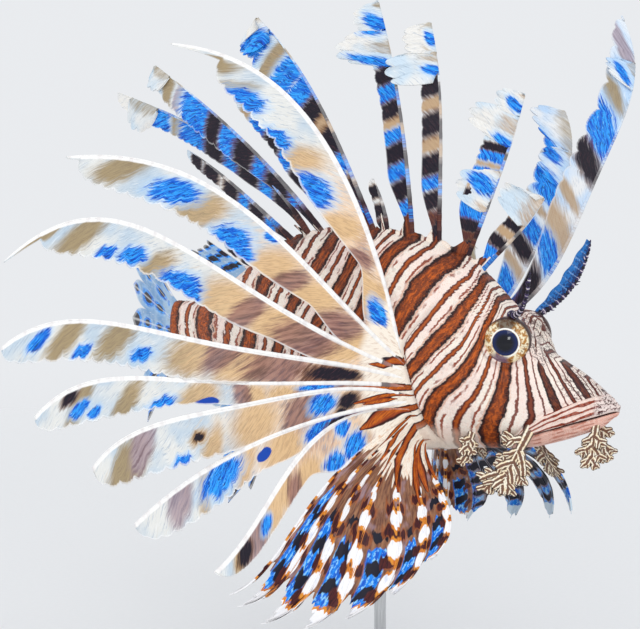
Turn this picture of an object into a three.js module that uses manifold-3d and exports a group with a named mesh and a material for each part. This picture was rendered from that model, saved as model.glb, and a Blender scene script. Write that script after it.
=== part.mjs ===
// A red lionfish as a still, life-size model on a plain stand.
// Millimetres, +Z up, the head points along +X and the fish's right side faces -Y.
// The origin is the middle of the stand plate's underside.
import * as THREE from 'three';
import { mergeVertices } from 'three/addons/utils/BufferGeometryUtils.js';
import Module from 'manifold-3d';

// ---------------------------------------------------------------- driving dimensions
const SNOUT = [96, -8, 152];        // where the tip of the snout stands above the plate's underside
const BODY_LENGTH = 248;            // snout tip to the root of the caudal fin
const TAIL_BEND = { angle: 31, from: 75, to: 225 };            // degrees the tail swings to the fish's left
const PITCH = { head: 10, tail: -2.5, from: 30, over: 170 };   // degrees the snout points down
const GAP = 0.35;                   // left between touching pieces
const EYE = { u: 47, side: 12.5, up: 18.9, radius: 10.2, depth: 7.0, turn: 12 };
const ORBIT = { side: 7.5, lateral: 8.3, along: 13.5, ahead: 15.5, high: 11.3, slope: 0.2, lean: 0.3, knee: 42, drop: 0.75, stretch: 0.35 };
const MOUTH = { frontN: -1.6, backU: 35, backN: -20.5, jointU: 40 };
const PLATE = { length: 172, width: 132, height: 9, corner: 24, edge: 1.2 };
const ROD = { radius: 2.6, collar: 7, collarHeight: 6, station: 104 };
const RAY_ROOT = { u0: 88, u1: 77, th0: 173, th1: 241 };       // line on the flank where the pectoral rays start
const BLADE = { edge: 0.3, shaft: 0.42, swell: 0.65, root: 1.1, rootWidth: 1.9 }; // half thicknesses of a fin ray's blade
const SHEET = { half: 0.4, root: 1.6 };                        // half thickness of a webbed fin, and what its root adds

// body stations: distance behind the snout, then height above and depth below the mid-line,
// half width, and the height at which the body is widest
const STATION = {
  u: [0, 5, 14, 24, 32, 38, 46, 56, 66, 76, 90, 105, 125, 145, 165, 185, 205, 225, 248],
  top: [1, 5.2, 10.2, 14, 17.5, 23, 28.5, 35.5, 43, 48.5, 52, 53, 52, 48.5, 41.5, 31, 21.5, 16, 15.5],
  bot: [4, 10, 16, 21.5, 25, 27, 29, 31, 33.5, 36, 38.5, 39.5, 38.5, 35, 28.5, 20.5, 14, 11.5, 12.5],
  half: [3, 7, 10, 12.5, 14.5, 16, 18.5, 21, 23.5, 25.5, 27, 27, 25, 21.5, 17.5, 13.5, 9.5, 6.5, 4.5],
  wide: [-1.5, -2.5, -4, -6, -7, -7, -6, -4, -2, 0, 3, 5, 6, 6, 6, 5, 4, 2.5, 2],
};
// rear edge of the gill cover, by the angle down from the back
const GILL_EDGE = { angle: [0, 60, 80, 95, 120, 150, 180], u: [64, 79, 85.5, 82, 76, 68, 60] };

// Fin rays. f = place along the pectoral root, len = length, az and el = where the tip lies, roll = turn of
// the blade, b1 and b2 = bow at one and two thirds, hk = hook near the tip, w = blade width,
// s0 and s1 = where it starts to widen and where it is full, se = where it ends short of the ray's tip.
const RIGHT_RAYS = [
  { f: -0.02, len: 155, az: -146.6, el: 53.1, roll: -83, b1: 0.12, b2: 0.13, hk: 0.15, w: 18, s0: 0.04, s1: 0.5, se: 0.89 },
  { f: 0.071, len: 162, az: -136.6, el: 31.6, roll: -84, b1: 0.06, b2: 0.25, hk: 0, w: 17, s1: 0.5, se: 0.97 },
  { f: 0.143, len: 172, az: -133.8, el: 16.5, roll: -79, b1: -0.08, b2: -0.06, hk: 0.35, w: 17.5, s1: 0.5, se: 0.93 },
  { f: 0.214, len: 170, az: -130.9, el: 6.9, roll: -77, b1: -0.05, b2: -0.26, hk: 0.34, w: 17, s1: 0.6, se: 1 },
  { f: 0.286, len: 158, az: -129.1, el: -1.0, roll: -76, b1: -0.055, b2: -0.27, hk: 0.35, w: 17, s0: 0.3, s1: 0.9, se: 1 },
  { f: 0.357, len: 139, az: -127.0, el: -8.3, roll: -73, b1: 0.05, b2: -0.26, hk: 0.32, w: 19.5, s1: 0.78, se: 1 },
  { f: 0.429, len: 128, az: -126.4, el: -18.3, roll: -69, b1: 0.09, b2: 0.11, hk: 0, w: 16, s0: 0.12, s1: 0.8, se: 1 },
  { f: 0.500, len: 109, az: -121.2, el: -32.0, roll: -62, b1: 0.31, b2: 0, hk: 0, w: 9, s0: 0.1, s1: 0.5, se: 1 },
];
const RIGHT_CLAWS = [
  { f: 0.571, len: 109, az: -120.2, el: -36.4, roll: 120, b1: -0.14, b2: -0.24, hk: 0.24 },
  { f: 0.643, len: 109, az: -119.1, el: -37.8, roll: 122, b1: -0.15, b2: -0.28, hk: 0.33 },
  { f: 0.714, len: 107, az: -115.5, el: -41.9, roll: 126, b1: -0.17, b2: -0.26, hk: 0.34 },
  { f: 0.786, len: 99, az: -107.2, el: -46.3, roll: 135, b1: -0.19, b2: -0.19, hk: 0.31 },
  { f: 0.857, len: 87, az: -97.4, el: -49.4, roll: 146, b1: -0.13, b2: 0.40, hk: -0.04 },
  { f: 0.929, len: 71, az: -81.2, el: -51.8, roll: 164, b1: -0.05, b2: 0.45, hk: -0.10 },
  { f: 1.000, len: 54, az: -62.4, el: -50.4, roll: -175, b1: -0.01, b2: 0.28, hk: 0.08 },
];
const LEFT_RAYS = [
  { f: 0.000, len: 157, az: 31, el: 61.8, roll: 78, b1: 0.2, b2: -0.62, hk: 0.65, w: 14, s1: 0.5, se: 0.99 },
  { f: 0.071, len: 135, az: 77.3, el: 47.9, roll: 40, b1: 0.12, b2: -0.27, hk: 0.35, w: 15, s1: 0.6, se: 1, flags: [[0.95, 0.08, 9]] },
  { f: 0.143, len: 166, az: 108, el: 12, roll: -101, b1: 0.02, b2: 0.06, hk: 0.12, w: 17, s1: 0.5, se: 0.95 },
  { f: 0.214, len: 168, az: 110, el: 1, roll: -103, b1: 0.0, b2: 0.04, hk: 0.12, w: 15.6, s1: 0.6, se: 1 },
  { f: 0.286, len: 158, az: 111, el: -9.5, roll: -104, b1: 0.0, b2: 0.04, hk: 0.10, w: 15.5, s1: 0.65, se: 1 },
  { f: 0.357, len: 139, az: 113, el: -19, roll: -106, b1: 0.02, b2: 0.04, hk: 0.08, w: 14, s1: 0.75, se: 1 },
  { f: 0.429, len: 128, az: 116, el: -28, roll: -110, b1: 0.05, b2: 0.05, hk: 0, w: 12, s1: 0.8, se: 1 },
  { f: 0.500, len: 105, az: 119, el: -37, roll: -116, b1: 0.1, b2: 0.03, hk: 0, w: 8, s1: 0.5, se: 1 },
];
const LEFT_CLAWS = [
  { f: 0.571, len: 100, az: 122, el: -42, roll: 60, b1: -0.1, b2: -0.1, hk: 0.1 },
  { f: 0.643, len: 92, az: 120, el: -47, roll: 60, b1: -0.1, b2: -0.1, hk: 0.1 },
  { f: 0.714, len: 80, az: 114, el: -50, roll: 60, b1: -0.1, b2: -0.1, hk: 0.1 },
  { f: 0.786, len: 76, az: 103, el: -46, roll: -30, b1: 0.0, b2: 0.05, hk: 0.1 },
  { f: 0.857, len: 88, az: 88.4, el: -37, roll: -45, b1: 0.10, b2: -0.15, hk: 0.28 },
  { f: 0.929, len: 78, az: 65.8, el: -36.4, roll: -69, b1: 0.12, b2: 0.03, hk: 0.21 },
  { f: 1.000, len: 69, az: 42.3, el: -33.2, roll: -87, b1: 0.18, b2: 0.16, hk: 0.17 },
];
// dorsal spines along the back at station u; each blade carries up to two flags: [place, reach, added width]
const SPINES = [
  { u: 67.5, len: 42, az: 0, el: 48.3, b1: 0, b2: 0.07, w: 8, s1: 0.4, flags: [[0.78, 0.14, 9]] },
  { u: 74, len: 74, az: 0, el: 69.9, b1: 0.01, b2: 0.03, w: 12, s1: 0.3, flags: [[0.93, 0.07, 5], [0.78, 0.11, 13], [0.42, 0.15, 6]] },
  { u: 86, roll: -72, len: 94, az: 179.5, el: 87.1, b1: 0.01, b2: 0.06, w: 8, s1: 0.3, flags: [[0.93, 0.08, 6], [0.825, 0.07, 15]] },
  { u: 97.5, len: 102, az: 178.1, el: 80.6, b1: 0.03, b2: 0.04, w: 9, s1: 0.3, flags: [[0.93, 0.07, 5], [0.8, 0.1, 17]] },
  { u: 108.5, len: 25, az: 176.1, el: 74.5, b1: 0.1, b2: 0.04, w: 4.5, s1: 0.3, flags: [] },
  { u: 113.5, len: 110, az: 174.9, el: 57.3, b1: 0.04, b2: 0.10, w: 19.5, s1: 0.9, flags: [] },
  { u: 124, len: 87, az: 172.2, el: 45.7, b1: -0.01, b2: 0.08, w: 9, s1: 0.5, flags: [] },
  { u: 137, roll: -80, len: 122, az: 168.5, el: 36.9, b1: 0.05, b2: 0.04, w: 12, s1: 0.7, flags: [] },
  { u: 144, len: 133, az: 166.4, el: 28.1, b1: 0.15, b2: 0.07, w: 9, s1: 0.4, flags: [[0.86, 0.1, 7]] },
  { u: 152.5, len: 78, az: 163.7, el: 30, b1: 0.01, b2: 0.04, w: 6, s1: 0.4, flags: [] },
  { u: 161, len: 48, az: 161.1, el: 30, b1: 0.0, b2: 0.04, w: 5, s1: 0.4, flags: [] },
  { u: 169, len: 34, az: 158.7, el: 27, b1: 0.0, b2: 0.05, w: 4.5, s1: 0.4, flags: [] },
  { u: 177, len: 26, az: 156.5, el: 22, b1: 0.0, b2: 0.04, w: 4, s1: 0.4, flags: [] },
];
// webbed fins: rays from the first to the last, each [root, azimuth, elevation, length]; root is a station
// on the back or belly, or for the caudal fin a height on its root
const SOFT_DORSAL = [[183, 155, 20, 34], [192, 152, 16, 40], [201, 149, 11, 38], [209, 147, 6, 30], [215, 146, 2, 20]];
const ANAL = [[165, 158, -72, 44], [171, 150, -66, 59], [178, 148, -58, 50], [186, 147, -46, 40], [194, 146, -32, 28]];
const CAUDAL = [[14, 141, 28, 58], [10, 140, 20, 66], [5, 139, 10, 70], [0, 138, 0, 72], [-4, 138, -13, 71], [-8, 138, -26, 68], [-11, 138, -39, 62]];
const PELVIC = {
  right: { th: 262, rays: [[84, -22, -58, 35], [87, -60, -72, 46], [89, -110, -76, 52], [91, -150, -70, 50], [93, -160, -58, 42]] },
  left: { th: 278, rays: [[84, 100, -80, 34], [87, 120, -80, 44], [89, 140, -76, 50], [91, 155, -68, 48], [93, 162, -56, 42]] },
};
// fleshy tentacle over each eye, and the branched cirri of the chin, cheek and gill cover
const TENTACLE = {
  right: { u: 47.5, th: 113, az: -53, el: 37, len: 33, lift: 0.18, r0: 1.7, r1: 0.75 },
  left: { u: 46, th: 60, az: 41, el: 53, len: 40, lift: 0.14, r0: 1.7, r1: 0.75, leaf: 5 },
};
const CIRRI = {
  chin_right: { u: 6, th: 232, az: -140, el: -80, len: 17, face: 64, spread: 6.2, root: 1.6 },
  chin_left: { u: 7, th: 308, az: 70, el: -80, len: 17, face: 64, spread: 5.5, root: 1.6 },
  cheek_right: { u: 31, th: 209, az: -146, el: -63, len: 30, face: 64, spread: 10.5, root: 2.4 },
  cheek_left: { u: 35, th: 308, az: 80, el: -50, len: 24, face: -64, spread: 8.5, root: 2.2 },
  gill_right: { u: 55, th: 224, az: -120, el: -72, len: 12, face: 64, spread: 5, root: 1.6 },
  gill_left: { u: 64, th: 308, az: 60, el: -80, len: 13, face: -64, spread: 5, root: 1.6 },
};
const COLOUR = {
  skin: [0xd98b66, 0.55], jaw: [0xe2a68e, 0.5], ray: [0xdfe6ea, 0.45], claw: [0x8a6a5a, 0.45], spine: [0x3b6fae, 0.45],
  web: [0x6fa0cf, 0.45], cirrus: [0xf0ddb5, 0.6], tentacle: [0x3a3450, 0.5], eye: [0x11131c, 0.08], plate: [0x2c2d30, 0.5], rod: [0xb9bcc0, 0.3],
};

// ---------------------------------------------------------------- small maths
const RAD = Math.PI / 180;
const { sin, cos, abs, sign, sqrt, exp, min, max, floor, PI } = Math;
const V = (x, y, z) => new THREE.Vector3(x, y, z);
const ease = (t) => { const k = min(max(t, 0), 1); return k * k * (3 - 2 * k); };
const bell = (x, c, w) => exp(-(((x - c) / w) ** 2));

// monotone cubic through a few stations
function through(xs, ys) {
  const n = xs.length, h = [], d = [], m = [];
  for (let i = 0; i < n - 1; i++) { h.push(xs[i + 1] - xs[i]); d.push((ys[i + 1] - ys[i]) / h[i]); }
  m[0] = d[0]; m[n - 1] = d[n - 2];
  for (let i = 1; i < n - 1; i++) {
    const w1 = 2 * h[i] + h[i - 1], w2 = h[i] + 2 * h[i - 1];
    m[i] = d[i - 1] * d[i] > 0 ? (w1 + w2) / (w1 / d[i - 1] + w2 / d[i]) : 0;
  }
  return (x0) => {
    const x = min(max(x0, xs[0]), xs[n - 1]);
    let i = 0; while (i < n - 2 && x > xs[i + 1]) i++;
    const t = (x - xs[i]) / h[i];
    return ys[i] * (1 + 2 * t) * (1 - t) ** 2 + h[i] * m[i] * t * (1 - t) ** 2
      + ys[i + 1] * t * t * (3 - 2 * t) - h[i] * m[i + 1] * t * t * (1 - t);
  };
}

// ---------------------------------------------------------------- the body's own frame
const heading = (u) => -RAD * TAIL_BEND.angle * ease((u - TAIL_BEND.from) / (TAIL_BEND.to - TAIL_BEND.from));
const pitch = (u) => RAD * (PITCH.head + (PITCH.tail - PITCH.head) * ease((u - PITCH.from) / PITCH.over));
const backward = (u) => V(-cos(heading(u)) * cos(pitch(u)), -sin(heading(u)) * cos(pitch(u)), sin(pitch(u)));
const midline = [V(...SNOUT)];
for (let i = 1; i <= 340; i++) midline.push(midline[i - 1].clone().add(backward(i - 0.5)));
function frame(u) {
  const k = min(max(u, 0), 339), i = floor(k), p = midline[i].clone().lerp(midline[i + 1], k - i);
  if (u < 0) p.addScaledVector(backward(0.5), u);
  const t = backward(u), s = V(-sin(heading(u)), cos(heading(u)), 0), n = t.clone().cross(s);
  if (n.z < 0) n.negate();
  return { p, t, s, n };
}
const size = Object.fromEntries(['top', 'bot', 'half', 'wide'].map((k) => [k, through(STATION.u, STATION[k])]));
const gillEdge = through(GILL_EDGE.angle, GILL_EDGE.u);
const fromTop = (th) => abs(Math.atan2(cos(th), sin(th))) / RAD;

// the head swells out to a rounded rim around each eye
function orbit(u, y, z, off) {
  const front = max(ORBIT.knee - u, 0), up = EYE.up - ORBIT.drop * front, high = ORBIT.high + ORBIT.stretch * front;
  const v = u - EYE.u - ORBIT.lean * (z - EYE.up) * ease((EYE.u + 5 - u) / 10);
  const w = v < 0 ? max(1 - (v / ORBIT.ahead) ** 2, 0) : max(1 - (v / ORBIT.along) ** 2.5, 0) ** 0.6;
  const qy = abs(y) - ORBIT.side, qz = z - up, d = max(Math.hypot(qy, qz), 1e-6), wide = ORBIT.lateral + ORBIT.slope * (u - EYE.u);
  const rim = w / ((abs(qy) / d / wide) ** 4 + (abs(qz) / d / high) ** 4) ** 0.25 + off;
  const grow = 0.5 * (d + rim + sqrt((d - rim) ** 2 + 3)) - 0.6, k = 1 + (max(grow / d, 1) - 1) * ease(w / 0.5) * ease(abs(y) / 6);
  return [(y < 0 ? -1 : 1) * (ORBIT.side + qy * k), up + qz * k];
}

// point of the skin at station u and angle th (0 = left, 90 degrees = back, 180 = right, 270 = belly)
function skin(u, th, off = 0) {
  const top = size.top(u), bot = size.bot(u), half = size.half(u), wide = size.wide(u), c = cos(th), s = sin(th);
  const square = 0.42 * bell(u, 46, 20), shoulder = 0.18 * ease((u - 30) / 60) * (1 - ease((u - 150) / 80));
  let y = (half + off) * sign(c) * abs(c) ** (s > 0 ? 1 - square : 1) * (1 - shoulder * max(s, 0) ** 1.5);
  let z = wide + (s > 0 ? (top - wide + off) : (bot + wide + off)) * s;
  const a = fromTop(th);
  const ridge = 2.4 * bell(u, 45, 10) * bell(a, 40, 15) - 2.2 * bell(u, 43, 13) * bell(a, 0, 17)
    + 1.0 * bell(u, 52, 12) * bell(a, 104, 14);
  y += ridge * c; z += ridge * s;
  [y, z] = orbit(u, y, z, off);
  const f = frame(u);
  return f.p.clone().addScaledVector(f.s, y).addScaledVector(f.n, z);
}
const inFrame = (u, y, z) => { const f = frame(u); return f.p.clone().addScaledVector(f.s, y).addScaledVector(f.n, z); };

// ---------------------------------------------------------------- closed meshes
function geometry(points, faces) {
  const g = new THREE.BufferGeometry();
  g.setAttribute('position', new THREE.Float32BufferAttribute(points.flatMap((p) => [p.x, p.y, p.z]), 3));
  g.setIndex(faces.flat());
  return g;
}
// rings of equal count joined into a tube, each end closed on a middle point
function loft(rings, firstMiddle, lastMiddle) {
  const n = rings[0].length, points = rings.flat(), faces = [];
  for (let i = 0; i < rings.length - 1; i++) {
    for (let j = 0; j < n; j++) {
      const a = i * n + j, b = i * n + (j + 1) % n;
      faces.push([a, a + n, b], [b, a + n, b + n]);
    }
  }
  const last = (rings.length - 1) * n;
  const cap = (start, middle, flip) => {
    if (!middle) {
      for (let j = 1; j < n - 1; j++) faces.push(flip ? [start, start + j + 1, start + j] : [start, start + j, start + j + 1]);
      return;
    }
    points.push(middle); const m = points.length - 1;
    for (let j = 0; j < n; j++) { const a = start + j, b = start + (j + 1) % n; faces.push(flip ? [m, b, a] : [m, a, b]); }
  };
  cap(0, firstMiddle, false); cap(last, lastMiddle, true);
  return outward(geometry(points, faces));
}
function volume(g) {
  const p = g.attributes.position, ix = g.index; let v = 0;
  const at = (i) => V(p.getX(ix.getX(i)), p.getY(ix.getX(i)), p.getZ(ix.getX(i)));
  for (let i = 0; i < ix.count; i += 3) v += at(i).dot(at(i + 1).cross(at(i + 2)));
  return v / 6;
}
function outward(g) {
  if (volume(g) < 0) {
    const a = g.index.array;
    for (let i = 0; i < a.length; i += 3) { const k = a[i]; a[i] = a[i + 1]; a[i + 1] = k; }
  }
  return g;
}
const wasm = await Module(); wasm.setup();
function toSolid(source) {
  const g = source.clone(); g.deleteAttribute('normal'); g.deleteAttribute('uv');
  const m = mergeVertices(g, 1e-4);
  return new wasm.Manifold(new wasm.Mesh({
    numProp: 3, vertProperties: new Float32Array(m.attributes.position.array), triVerts: new Uint32Array(m.index.array),
  }));
}
function fromSolid(solid) {
  const pieces = solid.decompose();
  const main = pieces.reduce((a, b) => (b.volume() > a.volume() ? b : a));
  const mesh = main.getMesh(), g = new THREE.BufferGeometry(), np = mesh.numProp;
  const pos = []; for (let i = 0; i < mesh.vertProperties.length; i += np) pos.push(...mesh.vertProperties.slice(i, i + 3));
  g.setAttribute('position', new THREE.Float32BufferAttribute(pos, 3));
  g.setIndex([...mesh.triVerts]);
  return g;
}
const less = (g, ...cutters) => fromSolid(cutters.reduce((s, c) => s.subtract(c), toSolid(g)));

// ---------------------------------------------------------------- head, trunk and tail
const AROUND = 24;
const angle = (j) => (2 * PI * (j + 0.5)) / AROUND;
const row = (f) => Array.from({ length: AROUND }, (_, j) => f(angle(j)));
const HEAD_STEPS = [0.02, 0.06, 0.12, 0.19, 0.27, 0.35, 0.42, 0.48, 0.54, 0.6, 0.66, 0.73, 0.8, 0.87, 0.94, 1];
const TRUNK_STEPS = [0, 0.1, 0.22, 0.36, 0.5, 0.65, 0.82, 1];
const TRUNK_END = 166;
const TAIL_STEPS = [0, 0.12, 0.25, 0.4, 0.55, 0.72, 0.88, 1];
const headLoft = (off) => loft(
  HEAD_STEPS.map((k) => row((th) => skin(gillEdge(fromTop(th)) * k + (k === 1 ? off : 0), th, off))), inFrame(-1.2 - off, 0, -1.4), inFrame(72 + off, 0, 5));
const trunkLoft = (off) => loft(
  TRUNK_STEPS.map((k) => row((th) => { const a = gillEdge(fromTop(th)) + 0.55; return skin(a + (TRUNK_END - a) * k, th, off); })),
  inFrame(72.7 - off, 0, 5), inFrame(TRUNK_END, 0, 6));
const tailLoft = (off) => loft(
  TAIL_STEPS.map((k) => row((th) => skin(TRUNK_END + 0.4 + (BODY_LENGTH - TRUNK_END - 0.4 + off) * k, th, off))),
  inFrame(TRUNK_END + 0.4, 0, 6), inFrame(BODY_LENGTH + off, 0, 2));
const bodySolid = [headLoft(GAP), trunkLoft(GAP), tailLoft(GAP)].map(toSolid).reduce((a, b) => a.add(b));

// eyeballs, flattened sideways, sunk in their sockets and turned a little forward
function eyeball(side, grow) {
  const g = new THREE.SphereGeometry(1, 16, 9); g.rotateX(PI / 2);
  const f = frame(EYE.u), p = inFrame(EYE.u, side * EYE.side, EYE.up);
  const c0 = cos(EYE.turn * RAD), s0 = sin(EYE.turn * RAD), out = f.s.clone().multiplyScalar(c0).addScaledVector(f.t, -s0 * side);
  const ahead = f.t.clone().multiplyScalar(c0).addScaledVector(f.s, s0 * side);
  const m = new THREE.Matrix4().makeBasis(
    ahead.multiplyScalar(EYE.radius + grow), f.n.clone().multiplyScalar(EYE.radius + grow), out.multiplyScalar(EYE.depth + grow));
  m.setPosition(p);
  g.applyMatrix4(m);
  const c = g.clone(); c.deleteAttribute('normal'); c.deleteAttribute('uv');
  return outward(mergeVertices(c, 1e-4));
}
// wedge below the mouth line that the lower jaw fills
function jawWedge(grow) {
  const s = new THREE.Shape();
  s.moveTo(8, MOUTH.frontN + 4 + grow); s.lineTo(-MOUTH.backU - grow, MOUTH.backN + grow);
  s.lineTo(-MOUTH.jointU - grow, -46); s.lineTo(8, -46); s.closePath();
  const g = new THREE.ExtrudeGeometry(s, { depth: 80, bevelEnabled: false }); g.translate(0, 0, -40);
  const f = frame(0);
  const m = new THREE.Matrix4().makeBasis(f.t.clone().negate(), f.n, f.t.clone().negate().cross(f.n));
  m.setPosition(f.p); g.applyMatrix4(m);
  const c = g.clone(); c.deleteAttribute('normal'); c.deleteAttribute('uv');
  return outward(mergeVertices(c, 1e-4));
}

// ---------------------------------------------------------------- fin rays
function rayCurve(r) {
  const az = r.az * RAD, el = r.el * RAD, roll = (r.roll ?? 0) * RAD;
  const d = V(cos(az) * cos(el), sin(az) * cos(el), sin(el)), h = V(-sin(az), cos(az), 0), v = d.clone().cross(h);
  const m = h.clone().multiplyScalar(cos(roll)).addScaledVector(v, sin(roll)), n = d.clone().cross(m);
  const at = (s) => r.root.clone().addScaledVector(d, r.len * s)
    .addScaledVector(m, -r.len * (r.b1 * 3 * s * (1 - s) ** 2 + r.b2 * 3 * s * s * (1 - s) + (r.hk ?? 0) * (s - max(s, 0) ** 6)));
  return { d, m, n, at };
}
function bladeWidth(r, s) {
  const s0 = r.s0 ?? 0;
  let w = BLADE.rootWidth + (r.w - BLADE.rootWidth) * ease((s - s0) / (r.s1 - s0));
  for (const [place, reach, add] of r.flags ?? []) w += add * bell(s, place, reach);
  return w * sqrt(max(1 - min(max(s, 0) / (r.se ?? 1), 1) ** 9, 0));
}
// a stiff shaft along the leading edge with a thin blade behind it
function blade(r, steps = 11) {
  const c = rayCurve(r), rings = [];
  for (let i = -1; i <= steps; i++) {
    const s = i < 0 ? -3 / r.len : 0.985 * (i / steps) + 0.015 * ease(i / steps);
    const p = c.at(s), k = max(s, 0), thick = exp(-k / 0.07);
    const t = BLADE.shaft + BLADE.swell * (1 - k) + BLADE.root * thick * (r.thickRoot ?? 1), h = BLADE.edge + 1.4 * thick * (r.thickRoot ?? 1);
    const x = min(0.45 + 0.9 * (1 - k), 0.95), w = max(bladeWidth(r, s), 2 * x);
    const q = (a, b) => p.clone().addScaledVector(c.m, a).addScaledVector(c.n, b);
    rings.push([q(0, 0), q(x, t), q(w, h), q(w, -h), q(x, -t)]);
  }
  return loft(rings);
}
const rootPoint = (f, side) => {
  const u = RAY_ROOT.u0 + (RAY_ROOT.u1 - RAY_ROOT.u0) * f, th = RAD * (RAY_ROOT.th0 + (RAY_ROOT.th1 - RAY_ROOT.th0) * f);
  return skin(u, side < 0 ? th : PI - th);
};
const withRoot = (r, side) => ({ ...r, root: rootPoint(r.f, side) });

// a closed sheet over a grid of points, thickened along its normals
function sheet(grid, half) {
  const nu = grid.length, nv = grid[0].length, points = [], faces = [];
  const id = (i, j, k) => (i * nv + j) * 2 + k;
  for (let i = 0; i < nu; i++) {
    for (let j = 0; j < nv; j++) {
      const a = grid[min(i + 1, nu - 1)][j].clone().sub(grid[max(i - 1, 0)][j]);
      const b = grid[i][min(j + 1, nv - 1)].clone().sub(grid[i][max(j - 1, 0)]);
      const n = a.cross(b).normalize(), t = half(i / (nu - 1), j / (nv - 1));
      points.push(grid[i][j].clone().addScaledVector(n, t), grid[i][j].clone().addScaledVector(n, -t));
    }
  }
  for (let i = 0; i < nu - 1; i++) {
    for (let j = 0; j < nv - 1; j++) {
      const [a, b, c, d] = [[i, j], [i + 1, j], [i + 1, j + 1], [i, j + 1]];
      faces.push([id(...a, 0), id(...b, 0), id(...c, 0)], [id(...a, 0), id(...c, 0), id(...d, 0)]);
      faces.push([id(...a, 1), id(...c, 1), id(...b, 1)], [id(...a, 1), id(...d, 1), id(...c, 1)]);
    }
  }
  const rim = (p, q) => faces.push([id(...p, 0), id(...p, 1), id(...q, 0)], [id(...q, 0), id(...p, 1), id(...q, 1)]);
  for (let i = 0; i < nu - 1; i++) { rim([i, 0], [i + 1, 0]); rim([i + 1, nv - 1], [i, nv - 1]); }
  for (let j = 0; j < nv - 1; j++) { rim([0, j + 1], [0, j]); rim([nu - 1, j], [nu - 1, j + 1]); }
  return outward(geometry(points, faces));
}
// the webbed lower part of a pectoral fin, each ray ending in a claw
function clawFan(rays, side) {
  const curves = rays.map((r) => rayCurve(withRoot(r, side))), rows = 6, grid = [];
  for (let k = 0; k < curves.length; k++) {
    const at = (mix, end) => Array.from({ length: rows }, (_, i) => {
      const s = -0.03 + (end + 0.03) * (i / (rows - 1));
      return k + 1 < curves.length ? curves[k].at(s).lerp(curves[k + 1].at(s), mix) : curves[k].at(s);
    });
    grid.push(at(0, 1));
    if (k + 1 < curves.length) grid.push(at(0.2, 0.86), at(0.62, 0.9));
  }
  return sheet(grid, (_, v) => SHEET.half + 2.4 * exp(-v / 0.12));
}
// a webbed fin through a list of rays
function webFan(rays, rootOf, curl = 0) {
  const rows = 5, between = 2, grid = [];
  for (let k = 0; k < rays.length - 1; k++) {
    for (let q = 0; q < between; q++) {
      const mix = q / between, notch = q ? 0.93 : 1;
      const mixed = rays[k].map((x, i) => x + (rays[k + 1][i] - x) * mix);
      grid.push(finRow(mixed, rootOf, rows, notch, curl));
    }
  }
  grid.push(finRow(rays[rays.length - 1], rootOf, rows, 1, curl));
  return sheet(grid, (_, v) => SHEET.half + SHEET.root * exp(-v / 0.1));
}
function finRow([at, az, el, len], rootOf, rows, notch, curl) {
  const root = rootOf(at), d = V(cos(az * RAD) * cos(el * RAD), sin(az * RAD) * cos(el * RAD), sin(el * RAD));
  const back = V(-1, 0, 0).addScaledVector(d, d.x);
  return Array.from({ length: rows }, (_, i) => {
    const s = -3 / len + (notch + 3 / len) * (i / (rows - 1));
    return root.clone().addScaledVector(d, len * s).addScaledVector(back, curl * len * max(s, 0) ** 2);
  });
}

// ---------------------------------------------------------------- soft trimmings
function tentacle({ u, th, az, el, len, lift, r0, r1, leaf = 0 }) {
  const root = skin(u, th * RAD), d = V(cos(az * RAD) * cos(el * RAD), sin(az * RAD) * cos(el * RAD), sin(el * RAD));
  const h = V(-sin(az * RAD), cos(az * RAD), 0), v = d.clone().cross(h), rings = [];
  for (let i = -1; i <= 9; i++) {
    const s = i < 0 ? -1.5 / len : i / 9, r = r0 + (r1 - r0) * max(s, 0);
    const p = root.clone().addScaledVector(d, len * s).addScaledVector(v, -lift * len * 4 * s * (1 - s));
    const wing = leaf * sin(PI * min(max(s, 0) * 0.9 + 0.05, 1));
    rings.push(Array.from({ length: 6 }, (_, j) => p.clone()
      .addScaledVector(h, (j === 1 || j === 2 ? 1 - min(wing, 0.5) : 1) * r * cos((j * PI) / 3)).addScaledVector(v, r * 1.25 * sin((j * PI) / 3) + (j === 1 || j === 2 ? wing : 0))));
  }
  return loft(rings);
}
// flat branched leaf: lobes stand off both edges of a stem
function cirrus({ u, th, az, el, len, face, spread, root: rootHalf }) {
  const root = skin(u, th * RAD), d = V(cos(az * RAD) * cos(el * RAD), sin(az * RAD) * cos(el * RAD), sin(el * RAD));
  const f = V(cos(-face * RAD), sin(-face * RAD), 0), w = d.clone().cross(f).normalize(), n = w.clone().cross(d), rings = [];
  const steps = 9;
  for (let i = -1; i <= steps; i++) {
    const s = i < 0 ? -1.6 / len : i / steps, k = max(s, 0);
    const lobe = i % 2 ? 1 : 0.72, half = max((rootHalf + (spread - rootHalf) * sin(PI * min(k * 0.62 + 0.02, 1)) ** 1.3) * (i < 1 ? 1 : lobe) * (i === steps ? 0.45 : 1), 0.8);
    const p = root.clone().addScaledVector(d, len * s), t = 1.2 - 0.5 * k;
    const q = (a, b) => p.clone().addScaledVector(w, a).addScaledVector(n, b);
    rings.push([q(-half, 0), q(0, t), q(half, 0), q(0, -t)]);
  }
  return loft(rings);
}

// ---------------------------------------------------------------- the model
const model = new THREE.Group();
function add(name, g, [colour, roughness], metalness = 0) {
  const mesh = new THREE.Mesh(g, new THREE.MeshStandardMaterial({ color: colour, roughness, metalness }));
  mesh.name = name; model.add(mesh); return mesh;
}

const sockets = [-1, 1].map((s) => toSolid(eyeball(s, GAP)));
add('head', less(headLoft(0), toSolid(jawWedge(GAP)), ...sockets), COLOUR.skin);
add('jaw', fromSolid(toSolid(headLoft(0)).intersect(toSolid(jawWedge(0)))), COLOUR.jaw);
add('trunk', trunkLoft(0), COLOUR.skin);
add('tail_peduncle', tailLoft(0), COLOUR.skin);
add('eye_right', eyeball(-1, 0), COLOUR.eye);
add('eye_left', eyeball(1, 0), COLOUR.eye);

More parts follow.
